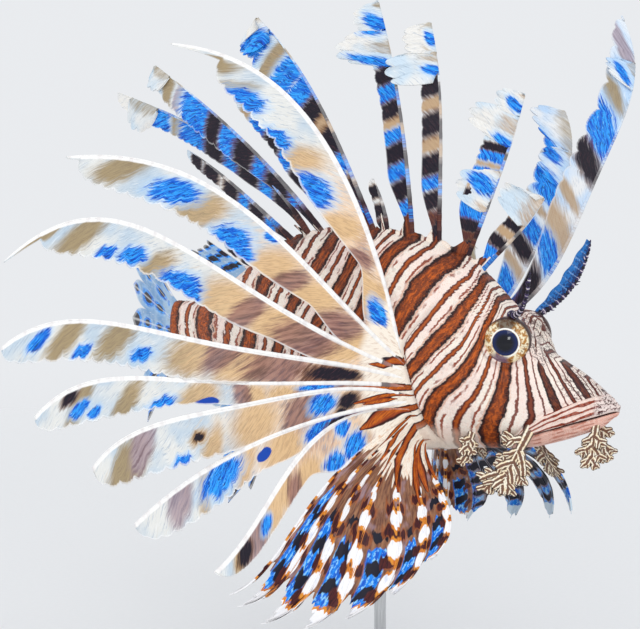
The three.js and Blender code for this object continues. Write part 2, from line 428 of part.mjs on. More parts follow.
RIGHT_RAYS.forEach((r, i) => add(`pectoral_right_ray_${i + 1}`, less(blade(withRoot(r, -1)), bodySolid), COLOUR.ray));
add('pectoral_right_lower', less(clawFan(RIGHT_CLAWS, -1), bodySolid), COLOUR.claw);
LEFT_RAYS.forEach((r, i) => add(`pectoral_left_ray_${i + 1}`, less(blade(withRoot(r, 1), i < 2 ? 10 : 9), bodySolid), COLOUR.ray));
add('pectoral_left_lower', less(clawFan(LEFT_CLAWS, 1), bodySolid), COLOUR.claw);

SPINES.forEach((r, i) => {
  const root = inFrame(r.u, 0, size.top(r.u) - 1.5), side = r.roll ?? (i < 2 ? 90 : -90), steps = r.len < 60 ? 6 : 10;
  add(`dorsal_spine_${String(i + 1).padStart(2, '0')}`, less(blade({ ...r, roll: side, root, thickRoot: 0.6 }, steps), bodySolid), COLOUR.spine);
});
const backPoint = (u) => inFrame(u, 0, size.top(u)), bellyPoint = (u) => inFrame(u, 0, -size.bot(u));
add('dorsal_soft', less(webFan(SOFT_DORSAL, backPoint), bodySolid), COLOUR.web);
add('anal_fin', less(webFan(ANAL, bellyPoint, 0.1), bodySolid), COLOUR.web);
add('caudal_fin', less(webFan(CAUDAL, (n) => inFrame(BODY_LENGTH, 0, n)), bodySolid), COLOUR.web);
for (const side of ['right', 'left']) {
  add(`pelvic_${side}`, less(webFan(PELVIC[side].rays, (u) => skin(u, PELVIC[side].th * RAD)), bodySolid), COLOUR.web);
}
for (const side of ['right', 'left']) add(`tentacle_${side}`, less(tentacle(TENTACLE[side]), bodySolid, ...sockets), COLOUR.tentacle);
for (const [name, c] of Object.entries(CIRRI)) add(`cirrus_${name}`, less(cirrus(c), bodySolid), COLOUR.cirrus);

// stand: a plate with rounded corners and one rod with a collar, up to the belly
const plan = new THREE.Shape(), [pl, pw, pr] = [PLATE.length / 2 - PLATE.edge, PLATE.width / 2 - PLATE.edge, PLATE.corner];
plan.moveTo(-pl + pr, -pw); plan.lineTo(pl - pr, -pw); plan.absarc(pl - pr, -pw + pr, pr, -PI / 2, 0);
plan.lineTo(pl, pw - pr); plan.absarc(pl - pr, pw - pr, pr, 0, PI / 2);
plan.lineTo(-pl + pr, pw); plan.absarc(-pl + pr, pw - pr, pr, PI / 2, PI);
plan.lineTo(-pl, -pw + pr); plan.absarc(-pl + pr, -pw + pr, pr, PI, 1.5 * PI);
const plate = new THREE.ExtrudeGeometry(plan, {
  depth: PLATE.height - 2 * PLATE.edge, curveSegments: 2, bevelEnabled: true, bevelSegments: 1, bevelSize: PLATE.edge, bevelThickness: PLATE.edge,
});
plate.translate(0, 0, PLATE.edge); plate.deleteAttribute('normal'); plate.deleteAttribute('uv');
add('stand_base', outward(mergeVertices(plate, 1e-4)), COLOUR.plate);
const foot = bellyPoint(ROD.station);
const profile = [[0, 0], [ROD.collar, 0], [ROD.collar, ROD.collarHeight - 1.5], [ROD.collar - 1.5, ROD.collarHeight], [ROD.radius, ROD.collarHeight], [ROD.radius, foot.z + 3 - PLATE.height - GAP], [0, foot.z + 3 - PLATE.height - GAP]];
const rod = new THREE.LatheGeometry(profile.map(([x, y]) => new THREE.Vector2(x, y)), 14);
rod.rotateX(PI / 2); rod.translate(foot.x, foot.y, PLATE.height + GAP); rod.deleteAttribute('normal'); rod.deleteAttribute('uv');
add('stand_rod', less(outward(mergeVertices(rod, 1e-4)), bodySolid), COLOUR.rod, 0.9);

export default model;
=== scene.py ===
# A red lionfish as a still, life-size model on a plain stand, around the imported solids.
import bpy
import math
import numpy as np
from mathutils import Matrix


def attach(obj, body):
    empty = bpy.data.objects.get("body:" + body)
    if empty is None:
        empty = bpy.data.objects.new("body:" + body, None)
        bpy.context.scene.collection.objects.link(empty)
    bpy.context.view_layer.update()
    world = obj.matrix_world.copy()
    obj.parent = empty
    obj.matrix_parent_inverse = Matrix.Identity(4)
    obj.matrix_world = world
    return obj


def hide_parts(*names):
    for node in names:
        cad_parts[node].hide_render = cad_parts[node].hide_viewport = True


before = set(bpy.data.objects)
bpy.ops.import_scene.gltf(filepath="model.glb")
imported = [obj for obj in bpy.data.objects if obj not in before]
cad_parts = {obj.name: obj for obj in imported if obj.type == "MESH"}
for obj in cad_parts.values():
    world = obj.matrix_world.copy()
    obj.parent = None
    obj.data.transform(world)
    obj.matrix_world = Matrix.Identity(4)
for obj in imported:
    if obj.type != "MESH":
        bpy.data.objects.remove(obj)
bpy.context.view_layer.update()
MM = 0.001
rng = np.random.default_rng(11)
# ---------------------------------------------------------------- the body's shape, in millimetres
SNOUT = np.array([96.0, -8.0, 152.0])
BODY_LENGTH = 248.0
EYE = dict(u=47.0, side=12.5, up=18.9, radius=10.2, depth=7.0, turn=12.0)
ORBIT = dict(side=7.5, lateral=8.3, along=13.5, high=11.3, slope=0.2, lean=0.3, knee=42.0, drop=0.75, stretch=0.35, ahead=15.5)
RAY_ROOT = dict(u0=88.0, u1=77.0, th0=173.0, th1=241.0)
STATION = dict(
    u=[0, 5, 14, 24, 32, 38, 46, 56, 66, 76, 90, 105, 125, 145, 165, 185, 205, 225, 248],
    top=[1, 5.2, 10.2, 14, 17.5, 23, 28.5, 35.5, 43, 48.5, 52, 53, 52, 48.5, 41.5, 31, 21.5, 16, 15.5],
    bot=[4, 10, 16, 21.5, 25, 27, 29, 31, 33.5, 36, 38.5, 39.5, 38.5, 35, 28.5, 20.5, 14, 11.5, 12.5],
    half=[3, 7, 10, 12.5, 14.5, 16, 18.5, 21, 23.5, 25.5, 27, 27, 25, 21.5, 17.5, 13.5, 9.5, 6.5, 4.5],
    wide=[-1.5, -2.5, -4, -6, -7, -7, -6, -4, -2, 0, 3, 5, 6, 6, 6, 5, 4, 2.5, 2])
GILL_EDGE = dict(angle=[0, 60, 80, 95, 120, 150, 180], u=[64, 79, 85.5, 82, 76, 68, 60])
RAD = math.pi / 180


def sm(t):
    t = np.clip(t, 0, 1)
    return t * t * (3 - 2 * t)


def bell(x, c, w):
    return np.exp(-((x - c) / w) ** 2)


def through(xs, ys):
    xs, ys = np.array(xs, float), np.array(ys, float)
    h, d = np.diff(xs), np.diff(ys) / np.diff(xs)
    m = np.zeros(len(xs))
    m[0], m[-1] = d[0], d[-1]
    for i in range(1, len(xs) - 1):
        if d[i - 1] * d[i] > 0:
            w1, w2 = 2 * h[i] + h[i - 1], h[i] + 2 * h[i - 1]
            m[i] = (w1 + w2) / (w1 / d[i - 1] + w2 / d[i])

    def f(x):
        x = np.clip(np.asarray(x, float), xs[0], xs[-1])
        i = np.clip(np.searchsorted(xs, x, side="right") - 1, 0, len(xs) - 2)
        t = (x - xs[i]) / h[i]
        return (ys[i] * (1 + 2 * t) * (1 - t) ** 2 + h[i] * m[i] * t * (1 - t) ** 2
                + ys[i + 1] * t * t * (3 - 2 * t) - h[i] * m[i + 1] * t * t * (1 - t))
    return f


def heading(u):
    return -RAD * 31 * sm((u - 75) / 150)


def pitch(u):
    return RAD * (10 - 12.5 * sm((u - 30) / 170))


def backward(u):
    a, b = heading(u), pitch(u)
    return np.stack([-np.cos(a) * np.cos(b), -np.sin(a) * np.cos(b), np.sin(b)], -1)


MID = np.vstack([SNOUT, SNOUT + np.cumsum(backward(np.arange(340) + 0.5), 0)])
PROFILE = {k: through(STATION["u"], STATION[k]) for k in ("top", "bot", "half", "wide")}
gill_edge = through(GILL_EDGE["angle"], GILL_EDGE["u"])


def frame_at(u):
    u = np.asarray(u, float)
    k = np.clip(u, 0, 339)
    i = np.floor(k).astype(int)
    p = MID[i] + (MID[np.minimum(i + 1, 340)] - MID[i]) * (k - i)[..., None]
    p = p + backward(np.full(u.shape, 0.5)) * np.minimum(u, 0)[..., None]
    t = backward(u)
    a = heading(u)
    s = np.stack([-np.sin(a), np.cos(a), 0 * a], -1)
    n = np.cross(t, s)
    n = n * np.sign(n[..., 2:3])
    return p, t, s, n


def from_top(th):
    return np.abs(np.arctan2(np.cos(th), np.sin(th))) / RAD


def orbit(u, y, z, off):
    """the head swells out to a rounded rim around each eye"""
    o = ORBIT
    front = np.maximum(o["knee"] - u, 0)
    up = EYE["up"] - o["drop"] * front
    high = o["high"] + o["stretch"] * front
    v = u - EYE["u"] - o["lean"] * (z - EYE["up"]) * sm((EYE["u"] + 5 - u) / 10)
    w = np.where(v < 0, np.clip(1 - (v / o["ahead"]) ** 2, 0, 1), np.clip(1 - np.abs(v / o["along"]) ** 2.5, 0, 1) ** 0.6)
    side = np.where(y < 0, -1.0, 1.0)
    qy, qz = np.abs(y) - o["side"], z - up
    d = np.maximum(np.hypot(qy, qz), 1e-6)
    wide = o["lateral"] + o["slope"] * (u - EYE["u"])
    rim = w / ((np.abs(qy) / d / wide) ** 4 + (np.abs(qz) / d / high) ** 4) ** 0.25 + off
    grow = 0.5 * (d + rim + np.sqrt((d - rim) ** 2 + 3.0)) - 0.6
    k = 1 + (np.maximum(grow / d, 1.0) - 1) * sm(w / 0.5) * sm(np.abs(y) / 6.0)
    return side * (o["side"] + qy * k), up + qz * k


def local(u, th, off=0.0):
    c, s = np.cos(th), np.sin(th)
    top, bot, half, wide = (PROFILE[k](u) for k in ("top", "bot", "half", "wide"))
    square = 0.42 * bell(u, 46, 20)
    shoulder = 0.18 * sm((u - 30) / 60) * (1 - sm((u - 150) / 80))
    y = (half + off) * np.sign(c) * np.abs(c) ** np.where(s > 0, 1 - square, 1) * (1 - shoulder * np.maximum(s, 0) ** 1.5)
    z = wide + np.where(s > 0, top - wide + off, bot + wide + off) * s
    a = from_top(th)
    r = 2.4 * bell(u, 45, 10) * bell(a, 40, 15) - 2.2 * bell(u, 43, 13) * bell(a, 0, 17) + 1.0 * bell(u, 52, 12) * bell(a, 104, 14)
    return orbit(u, y + r * c, z + r * s, off)


def skin(u, th, off=0.0):
    u, th = np.broadcast_arrays(np.asarray(u, float), np.asarray(th, float))
    y, z = local(u, th, off)
    p, t, s, n = frame_at(u)
    return p + s * y[..., None] + n * z[..., None]


def in_frame(u, y, z):
    p, t, s, n = frame_at(np.asarray(u, float))
    return p + s * np.asarray(y, float)[..., None] + n * np.asarray(z, float)[..., None]


# ---------------------------------------------------------------- fin rays
# f = place along the root line, len, az and el = where the tip lies, roll = turn of the blade, b1, b2, hk = bow,
# w = blade width, s0 and s1 = where it widens, se = where it ends, web = how far it is joined to the next ray,
# edge = depth of the scallops, lobe = their length in mm
def R(f, ln, az, el, roll, b1, b2, hk, w=8.0, s0=0.0, s1=0.5, se=1.0, web=0.1, flags=(), edge=0.12, lobe=5.5, droop=0.0, petals=()):
    return dict(f=f, len=ln, az=az, el=el, roll=roll, b1=b1, b2=b2, hk=hk, w=w, s0=s0, s1=s1, se=se, web=web, flags=flags, edge=edge, lobe=lobe, droop=droop, petals=petals)


RIGHT = [
    R(-0.02, 155, -146.6, 53.1, -83, 0.12, 0.13, 0.15, 18, 0.04, 0.5, 0.89, 0.10),
    R(0.071, 162, -136.6, 31.6, -84, 0.06, 0.25, 0.0, 17, 0, 0.5, 0.97, 0.15),
    R(0.143, 172, -133.8, 16.5, -79, -0.08, -0.06, 0.35, 17.5, 0, 0.5, 0.93, 0.20),
    R(0.214, 170, -130.9, 6.9, -77, -0.05, -0.26, 0.34, 17, 0, 0.6, 1, 0.34),
    R(0.286, 158, -129.1, -1.0, -76, -0.055, -0.27, 0.35, 17, 0.3, 0.9, 1, 0.50),
    R(0.357, 139, -127.0, -8.3, -73, 0.05, -0.26, 0.32, 19.5, 0, 0.78, 1, 0.55),
    R(0.429, 128, -126.4, -18.3, -69, 0.09, 0.11, 0.0, 16, 0.12, 0.8, 1, 0.42),
    R(0.500, 109, -121.2, -32.0, -62, 0.31, 0.0, 0.0, 9, 0.1, 0.5, 1, 0.35, edge=0.04),
]
RIGHT_CLAWS = [
    R(0.571, 109, -120.2, -36.4, 120, -0.14, -0.24, 0.24), R(0.643, 109, -119.1, -37.8, 122, -0.15, -0.28, 0.33),
    R(0.714, 107, -115.5, -41.9, 126, -0.17, -0.26, 0.34), R(0.786, 99, -107.2, -46.3, 135, -0.19, -0.19, 0.31),
    R(0.857, 87, -97.4, -49.4, 146, -0.13, 0.40, -0.04), R(0.929, 71, -81.2, -51.8, 164, -0.05, 0.45, -0.10),
    R(1.000, 54, -62.4, -50.4, -175, -0.01, 0.28, 0.08),
]
LEFT = [
    R(0.000, 157, 31, 61.8, 78, 0.2, -0.62, 0.65, 14, 0, 0.5, 0.99, 0.06, edge=0.2, lobe=9, petals=((0.83, 0.90, 14, 0.0, 0.7),)),
    R(0.071, 135, 77.3, 47.9, 40, 0.12, -0.27, 0.35, 15, 0, 0.6, 1, 0.06, edge=0.2, lobe=8, petals=((0.86, 1.0, 20, 0.0, 0.8), (0.72, 0.86, 15, 0.05, 1.0))),
    R(0.143, 166, 108, 12, -101, 0.02, 0.06, 0.12, 17, 0, 0.5, 0.95, 0.2),
    R(0.214, 168, 110, 1, -103, 0.0, 0.04, 0.12, 15.6, 0, 0.6, 1, 0.34),
    R(0.286, 158, 111, -9.5, -104, 0.0, 0.04, 0.10, 15.5, 0, 0.65, 1, 0.45),
    R(0.357, 139, 113, -19, -106, 0.02, 0.04, 0.08, 14, 0, 0.75, 1, 0.5),
    R(0.429, 128, 116, -28, -110, 0.05, 0.05, 0.0, 12, 0, 0.8, 1, 0.42),
    R(0.500, 105, 119, -37, -116, 0.1, 0.03, 0.0, 8, 0, 0.5, 1, 0.35, edge=0.04),
]
LEFT_CLAWS = [
    R(0.571, 100, 122, -42, 60, -0.1, -0.1, 0.1), R(0.643, 92, 120, -47, 60, -0.1, -0.1, 0.1),
    R(0.714, 80, 114, -50, 60, -0.1, -0.1, 0.1), R(0.786, 76, 103, -46, -30, 0.0, 0.05, 0.1),
    R(0.857, 88, 88.4, -37, -45, 0.10, -0.15, 0.28), R(0.929, 78, 65.8, -36.4, -69, 0.12, 0.03, 0.21),
    R(1.000, 69, 42.3, -33.2, -87, 0.18, 0.16, 0.17),
]
# dorsal spines; u = station of the root
SPINES = [
    dict(u=67.5, len=42, az=0, el=48.3, roll=90, b1=0, b2=0.07, w=8, s1=0.4, petals=((0.66, 0.99, 18, 0.10, 0.9),)),
    dict(u=74, len=74, az=0, el=69.9, roll=90, b1=0.01, b2=0.03, w=12, s1=0.3, petals=((0.87, 0.99, 12.5, 0.0, 1.2), (0.69, 0.87, 22, -0.05, 1.1), (0.30, 0.54, 17, 0.05, 1.0))),
    dict(u=86, len=94, az=179.5, el=87.1, roll=-72, b1=0.01, b2=0.06, w=8, s1=0.3, petals=((0.86, 0.995, 13, 0.05, 1.1), (0.775, 0.87, 22, 0.12, 1.9))),
    dict(u=97.5, len=102, az=178.1, el=80.6, roll=-90, b1=0.03, b2=0.04, w=9, s1=0.3, petals=((0.875, 0.99, 13, 0.0, 1.1), (0.72, 0.875, 25, -0.10, 0.9))),
    dict(u=108.5, len=25, az=176.1, el=74.5, roll=-90, b1=0.1, b2=0.04, w=4.5, s1=0.3),
    dict(u=113.5, len=110, az=174.9, el=57.3, roll=-90, b1=0.04, b2=0.10, w=19.5, s1=0.9, droop=0.03, petals=((0.93, 1.0, 16, 0.30, 1.0),)),
    dict(u=124, len=87, az=172.2, el=45.7, roll=-90, b1=-0.01, b2=0.08, w=9, s1=0.5),
    dict(u=137, len=122, az=168.5, el=36.9, roll=-80, b1=0.05, b2=0.04, w=12, s1=0.7, droop=0.03, petals=((0.92, 1.0, 10, 0.10, 1.0),)),
    dict(u=144, len=133, az=166.4, el=28.1, roll=-90, b1=0.15, b2=0.07, w=9, s1=0.4, petals=((0.80, 0.93, 14, 0.05, 1.0),)),
    dict(u=152.5, len=78, az=163.7, el=30, roll=-90, b1=0.01, b2=0.04, w=6, s1=0.4),
    dict(u=161, len=48, az=161.1, el=30, roll=-90, b1=0.0, b2=0.04, w=5, s1=0.4),
    dict(u=169, len=34, az=158.7, el=27, roll=-90, b1=0.0, b2=0.05, w=4.5, s1=0.4),
    dict(u=177, len=26, az=156.5, el=22, roll=-90, b1=0.0, b2=0.04, w=4, s1=0.4),
]
BLADE_ROOT = 1.9


def axes_of(r):
    az, el, roll = r["az"] * RAD, r["el"] * RAD, r["roll"] * RAD
    d = np.array([math.cos(az) * math.cos(el), math.sin(az) * math.cos(el), math.sin(el)])
    h = np.array([-math.sin(az), math.cos(az), 0.0])
    m = h * math.cos(roll) + np.cross(d, h) * math.sin(roll)
    return d, m, np.cross(d, m)


def ray_root(r, side):
    if "f" not in r:
        return in_frame(np.array(r["u"], float), np.array(0.0), PROFILE["top"](r["u"]) - 1.5)
    u = RAY_ROOT["u0"] + (RAY_ROOT["u1"] - RAY_ROOT["u0"]) * r["f"]
    th = RAD * (RAY_ROOT["th0"] + (RAY_ROOT["th1"] - RAY_ROOT["th0"]) * r["f"])
    return skin(np.array(u), np.array(th if side < 0 else math.pi - th))


def ray_point(r, side, s):
    s = np.asarray(s, float)
    d, m, n = axes_of(r)
    bow = r["b1"] * 3 * s * (1 - s) ** 2 + r["b2"] * 3 * s * s * (1 - s) + r.get("hk", 0) * (s - np.maximum(s, 0) ** 6)
    return ray_root(r, side) + d * (r["len"] * s)[..., None] - m * (r["len"] * bow)[..., None]


def lobes(x, depth):
    # convex lobes with sharp notches between, x in lobe lengths
    return 1 - depth * (1 - np.abs(np.sin(np.pi * x)) ** 0.55)


def blade_width(r, s, seed=0.0, ragged=True):
    s0, se = r.get("s0", 0), r.get("se", 1.0)
    w = BLADE_ROOT + (r["w"] - BLADE_ROOT) * sm((s - s0) / (r["s1"] - s0))
    for place, reach, add in r.get("flags", ()):
        w = w + add * np.sqrt(np.clip(1 - ((s - place) / reach) ** 2, 0, 1)) if ragged else w + add * bell(s, place, reach)
    if ragged:
        x, lobe, edge = s * r["len"], r.get("lobe", 5.5), r.get("edge", 0.12)
        grow = sm((s - 0.35) / 0.35)
        w = w * lobes(x / lobe + 0.35 * np.sin(x / 9.0 + seed) + seed, edge * grow)
        w = w * lobes(x / 1.25 + 0.8 * np.sin(x / 3.1 + seed), 0.035 * grow)
    tip = 3.6 * np.sqrt(np.clip(1 - (np.maximum(s - 0.8, 0) / 0.2) ** 2, 0, 1)) if se < 0.99 else 0.0
    return np.maximum(w * np.sqrt(np.maximum(1 - np.clip(s / se, 0, 1) ** (14 if ragged else 9), 0)), tip)


def blade_point(r, side, s, w, after=None, seed=0.0, wave=1.0):
    """w runs from the shaft (0) to the trailing edge (1); after is the next ray, which the root part is joined to"""
    s, w = np.broadcast_arrays(np.asarray(s, float), np.asarray(w, float))
    d, m, n = axes_of(r)
    c = ray_point(r, side, s)
    width = blade_width(r, s, seed)
    x = width * w
    # strokes lean towards the tip, so the free edge is drawn outward a little
    p = c + m * x[..., None] - d * (r.get("droop", 0) * r["len"] * w ** 2 * sm((s - 0.3) / 0.3) * (x / max(r["w"], 1)))[..., None]
    ripple = wave * (0.55 * np.sin(s * r["len"] / 7.5 + seed * 3) + 0.35 * np.sin(s * r["len"] / 3.4 + seed * 5 + w * 2)) * w ** 1.5 * sm(s / 0.35)
    p = p + n * ripple[..., None]
    if after is not None:
        end = r["web"]
        q = ray_point(after, side, s * 0.985)
        sag = np.sin(np.pi * w)[..., None] * n * (1.2 * s)[..., None]
        joined = c * (1 - w)[..., None] + q * w[..., None] + sag
        k = sm((s - end) / 0.14)[..., None]
        p = joined * (1 - k) + p * k
    return p


# stripes that run from the gill cover over the root of the pectoral fin: for each, where it lies along the
# root (in rays, 0 to 14) at some distances from the root line (mm, the skin side is negative), and its half width
HUB = [
    ([-8, 0, 6, 12, 18, 24], [3.75, 4.1, 4.4, 4.5, 4.55, 4.6], [0.30, 0.42, 0.50, 0.38, 0.18, 0.02]),
    ([-9, 0, 6, 12, 17, 22], [6.1, 6.9, 7.2, 7.4, 7.5, 7.5], [0.35, 0.48, 0.48, 0.30, 0.14, 0.02]),
    ([-11, 0, 8, 17, 27], [8.3, 10.0, 11.1, 11.7, 12.0], [0.50, 0.68, 0.60, 0.34, 0.03]),
    ([-3, 3, 8, 15], [0.9, 1.5, 2.3, 2.6], [0.35, 0.40, 0.30, 0.03]),
    ([-4, 6, 16, 24], [4.9, 5.3, 5.6, 5.7], [0.10, 0.16, 0.13, 0.03]),
    ([-6, 4, 15, 23], [7.6, 8.3, 8.8, 9.0], [0.10, 0.18, 0.14, 0.03]),
    ([2, 10, 20, 30], [12.3, 12.9, 12.9, 12.9], [0.05, 0.20, 0.18, 0.03]),
    ([4, 9, 13, 20], [5.6, 5.7, 5.75, 5.8], [0.05, 0.20, 0.16, 0.02]),
    ([18, 22, 28], [6.6, 6.65, 6.7], [0.02, 0.10, 0.02]),
    ([3, 9, 16, 22], [8.7, 9.1, 9.8, 10.1], [0.10, 0.30, 0.32, 0.05]),
    ([-4, 4, 14, 24], [12.7, 13.0, 13.3, 13.4], [0.15, 0.30, 0.25, 0.05]),
    ([0, 8, 18], [13.8, 13.9, 14.0], [0.10, 0.16, 0.05]),
    ([8, 14, 24], [10.3, 10.5, 10.9], [0.05, 0.18, 0.05]),
]


def hub_field(k, d):
    g = np.zeros(np.broadcast(k, d).shape)
    for ds, ks, hs in HUB:
        c, h = np.interp(d, ds, ks), np.interp(d, ds, hs)
        inside = (d > ds[0] - 1) & (d < ds[-1])
        g = np.maximum(g, np.where(inside, np.clip(1 - 0.5 * np.abs(k - c) / np.maximum(h, 0.02), 0, 1), 0))
    return g


# ---------------------------------------------------------------- meshes
def signed_volume(v, q, t):
    a = 0.0
    if len(q):
        p = v[q]
        a += np.einsum("ij,ij->i", p[:, 0], np.cross(p[:, 1], p[:, 2])).sum() + np.einsum("ij,ij->i", p[:, 0], np.cross(p[:, 2], p[:, 3])).sum()
    if len(t):
        p = v[t]
        a += np.einsum("ij,ij->i", p[:, 0], np.cross(p[:, 1], p[:, 2])).sum()
    return a


class Build:
    """Collects closed parts, in millimetres, into one mesh with point attributes."""

    def __init__(self):
        self.v, self.q, self.t, self.uv, self.a, self.n = [], [], [], [], [], 0

    def add(self, v, q=None, t=None, uv=None, orient=True, **attrs):
        v = np.asarray(v, float).reshape(-1, 3)
        q = np.zeros((0, 4), int) if q is None else np.asarray(q, int).reshape(-1, 4)
        t = np.zeros((0, 3), int) if t is None else np.asarray(t, int).reshape(-1, 3)
        if orient and signed_volume(v - v.mean(0), q, t) < 0:
            q, t = q[:, ::-1], t[:, ::-1]
        self.v.append(v); self.q.append(q + self.n); self.t.append(t + self.n)
        self.uv.append(np.zeros((len(v), 2)) if uv is None else np.asarray(uv, float).reshape(-1, 2))
        self.a.append({k: np.asarray(x, float).reshape(len(v), -1) for k, x in attrs.items()})
        self.n += len(v)

    def done(self, name, mat, nodes=(), with_uv=False, smooth=True):
        v, q, t = np.concatenate(self.v) * MM, np.concatenate(self.q), np.concatenate(self.t)
        me = bpy.data.meshes.new(name)
        loops = np.concatenate([q.ravel(), t.ravel()]).astype(np.int32)
        total = np.concatenate([np.full(len(q), 4), np.full(len(t), 3)])
        start = np.concatenate([[0], np.cumsum(total)[:-1]]).astype(np.int32)
        me.vertices.add(len(v)); me.vertices.foreach_set("co", v.astype(np.float32).ravel())
        me.loops.add(len(loops)); me.loops.foreach_set("vertex_index", loops)
        me.polygons.add(len(total)); me.polygons.foreach_set("loop_start", start)
        me.update(calc_edges=True)
        me.polygons.foreach_set("use_smooth", np.full(len(total), smooth))
        if with_uv:
            layer = me.uv_layers.new(name="OFBake")
            layer.data.foreach_set("uv", np.concatenate(self.uv)[loops].astype(np.float32).ravel())
        for key in sorted({k for a in self.a for k in a}):
            wide = next(a[key].shape[1] for a in self.a if key in a)
            full = np.concatenate([a.get(key, np.zeros((len(x), wide))) for a, x in zip(self.a, self.v)]).astype(np.float32)
            kind = {1: "FLOAT", 3: "FLOAT_VECTOR", 4: "FLOAT_COLOR"}[wide]
            layer = me.attributes.new(key, kind, "POINT")
            layer.data.foreach_set({1: "value", 3: "vector", 4: "color"}[wide], full.ravel())
        me.update()
        ob = bpy.data.objects.new(name, me)
        bpy.context.scene.collection.objects.link(ob)
        me.materials.append(mat)
        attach(ob, "root")
        if nodes:
            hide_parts(*nodes)
        print(name, "tris", 2 * len(q) + len(t))
        return ob


def grid_quads(nu, nv, closed=False):
    i, j = np.meshgrid(np.arange(nu - 1), np.arange(nv if closed else nv - 1), indexing="ij")
    k = (j + 1) % nv
    return np.stack([i * nv + j, (i + 1) * nv + j, (i + 1) * nv + k, i * nv + k], -1).reshape(-1, 4)


def grid_normals(P):
    n = np.cross(np.gradient(P, axis=0), np.gradient(P, axis=1))
    return n / np.maximum(np.linalg.norm(n, axis=-1, keepdims=True), 1e-9)


def thick(P, T):
    """A closed sheet over the grid P, T thick each way."""
    nu, nv = P.shape[:2]
    N = grid_normals(P) * np.asarray(T)[..., None]
    v = np.concatenate([(P + N).reshape(-1, 3), (P - N).reshape(-1, 3)])
    m = nu * nv
    q = grid_quads(nu, nv)
    ids = np.arange(m).reshape(nu, nv)
    rim = np.concatenate([ids[0, :], ids[1:, -1], ids[-1, -2::-1], ids[-2:0:-1, 0]])
    nxt = np.roll(rim, -1)
    side = np.stack([nxt, rim, rim + m, nxt + m], -1)
    return v, np.concatenate([q[:, ::-1], q + m, side[:, ::-1]])


def twice(x):
    x = np.asarray(x, float)
    x = x.reshape((-1,) + x.shape[2:])
    return np.concatenate([x, x])


def tube(C, r, sides=8, flat=1.0, up=None):
    """A closed tube along the points C with radii r; flat squeezes it across the direction up."""
    C, r = np.asarray(C, float), np.broadcast_to(np.asarray(r, float), (len(C),))
    T = np.gradient(C, axis=0)
    T /= np.maximum(np.linalg.norm(T, axis=1, keepdims=True), 1e-9)
    u0 = np.array([0.0, 0, 1]) if up is None else np.asarray(up, float)
    if up is None and abs(T[0] @ u0) > 0.9:
        u0 = np.array([1.0, 0, 0])
    A = np.zeros_like(C)
    a = u0 - T[0] * (u0 @ T[0]); a /= np.linalg.norm(a)
    for i in range(len(C)):
        a = a - T[i] * (a @ T[i]); a /= np.linalg.norm(a)
        A[i] = a
    Bn = np.cross(T, A)
    ph = np.arange(sides) * 2 * np.pi / sides
    V = C[:, None] + (A[:, None] * np.cos(ph)[None, :, None] * flat + Bn[:, None] * np.sin(ph)[None, :, None]) * r[:, None, None]
    v = np.concatenate([V.reshape(-1, 3), C[:1] - T[:1] * r[0] * 0.5, C[-1:] + T[-1:] * r[-1] * 0.5])
    n = len(C)
    q = grid_quads(n, sides, True)
    j = np.arange(sides); k = (j + 1) % sides
    t = np.concatenate([np.stack([np.full(sides, n * sides), j, k], -1), np.stack([np.full(sides, n * sides + 1), (n - 1) * sides + k, (n - 1) * sides + j], -1)])
    return v, q, t


def tube_attr(x, sides=8):
    x = np.asarray(x, float)
    body = np.repeat(x, sides, axis=0)
    return np.concatenate([body, x[:1], x[-1:]])


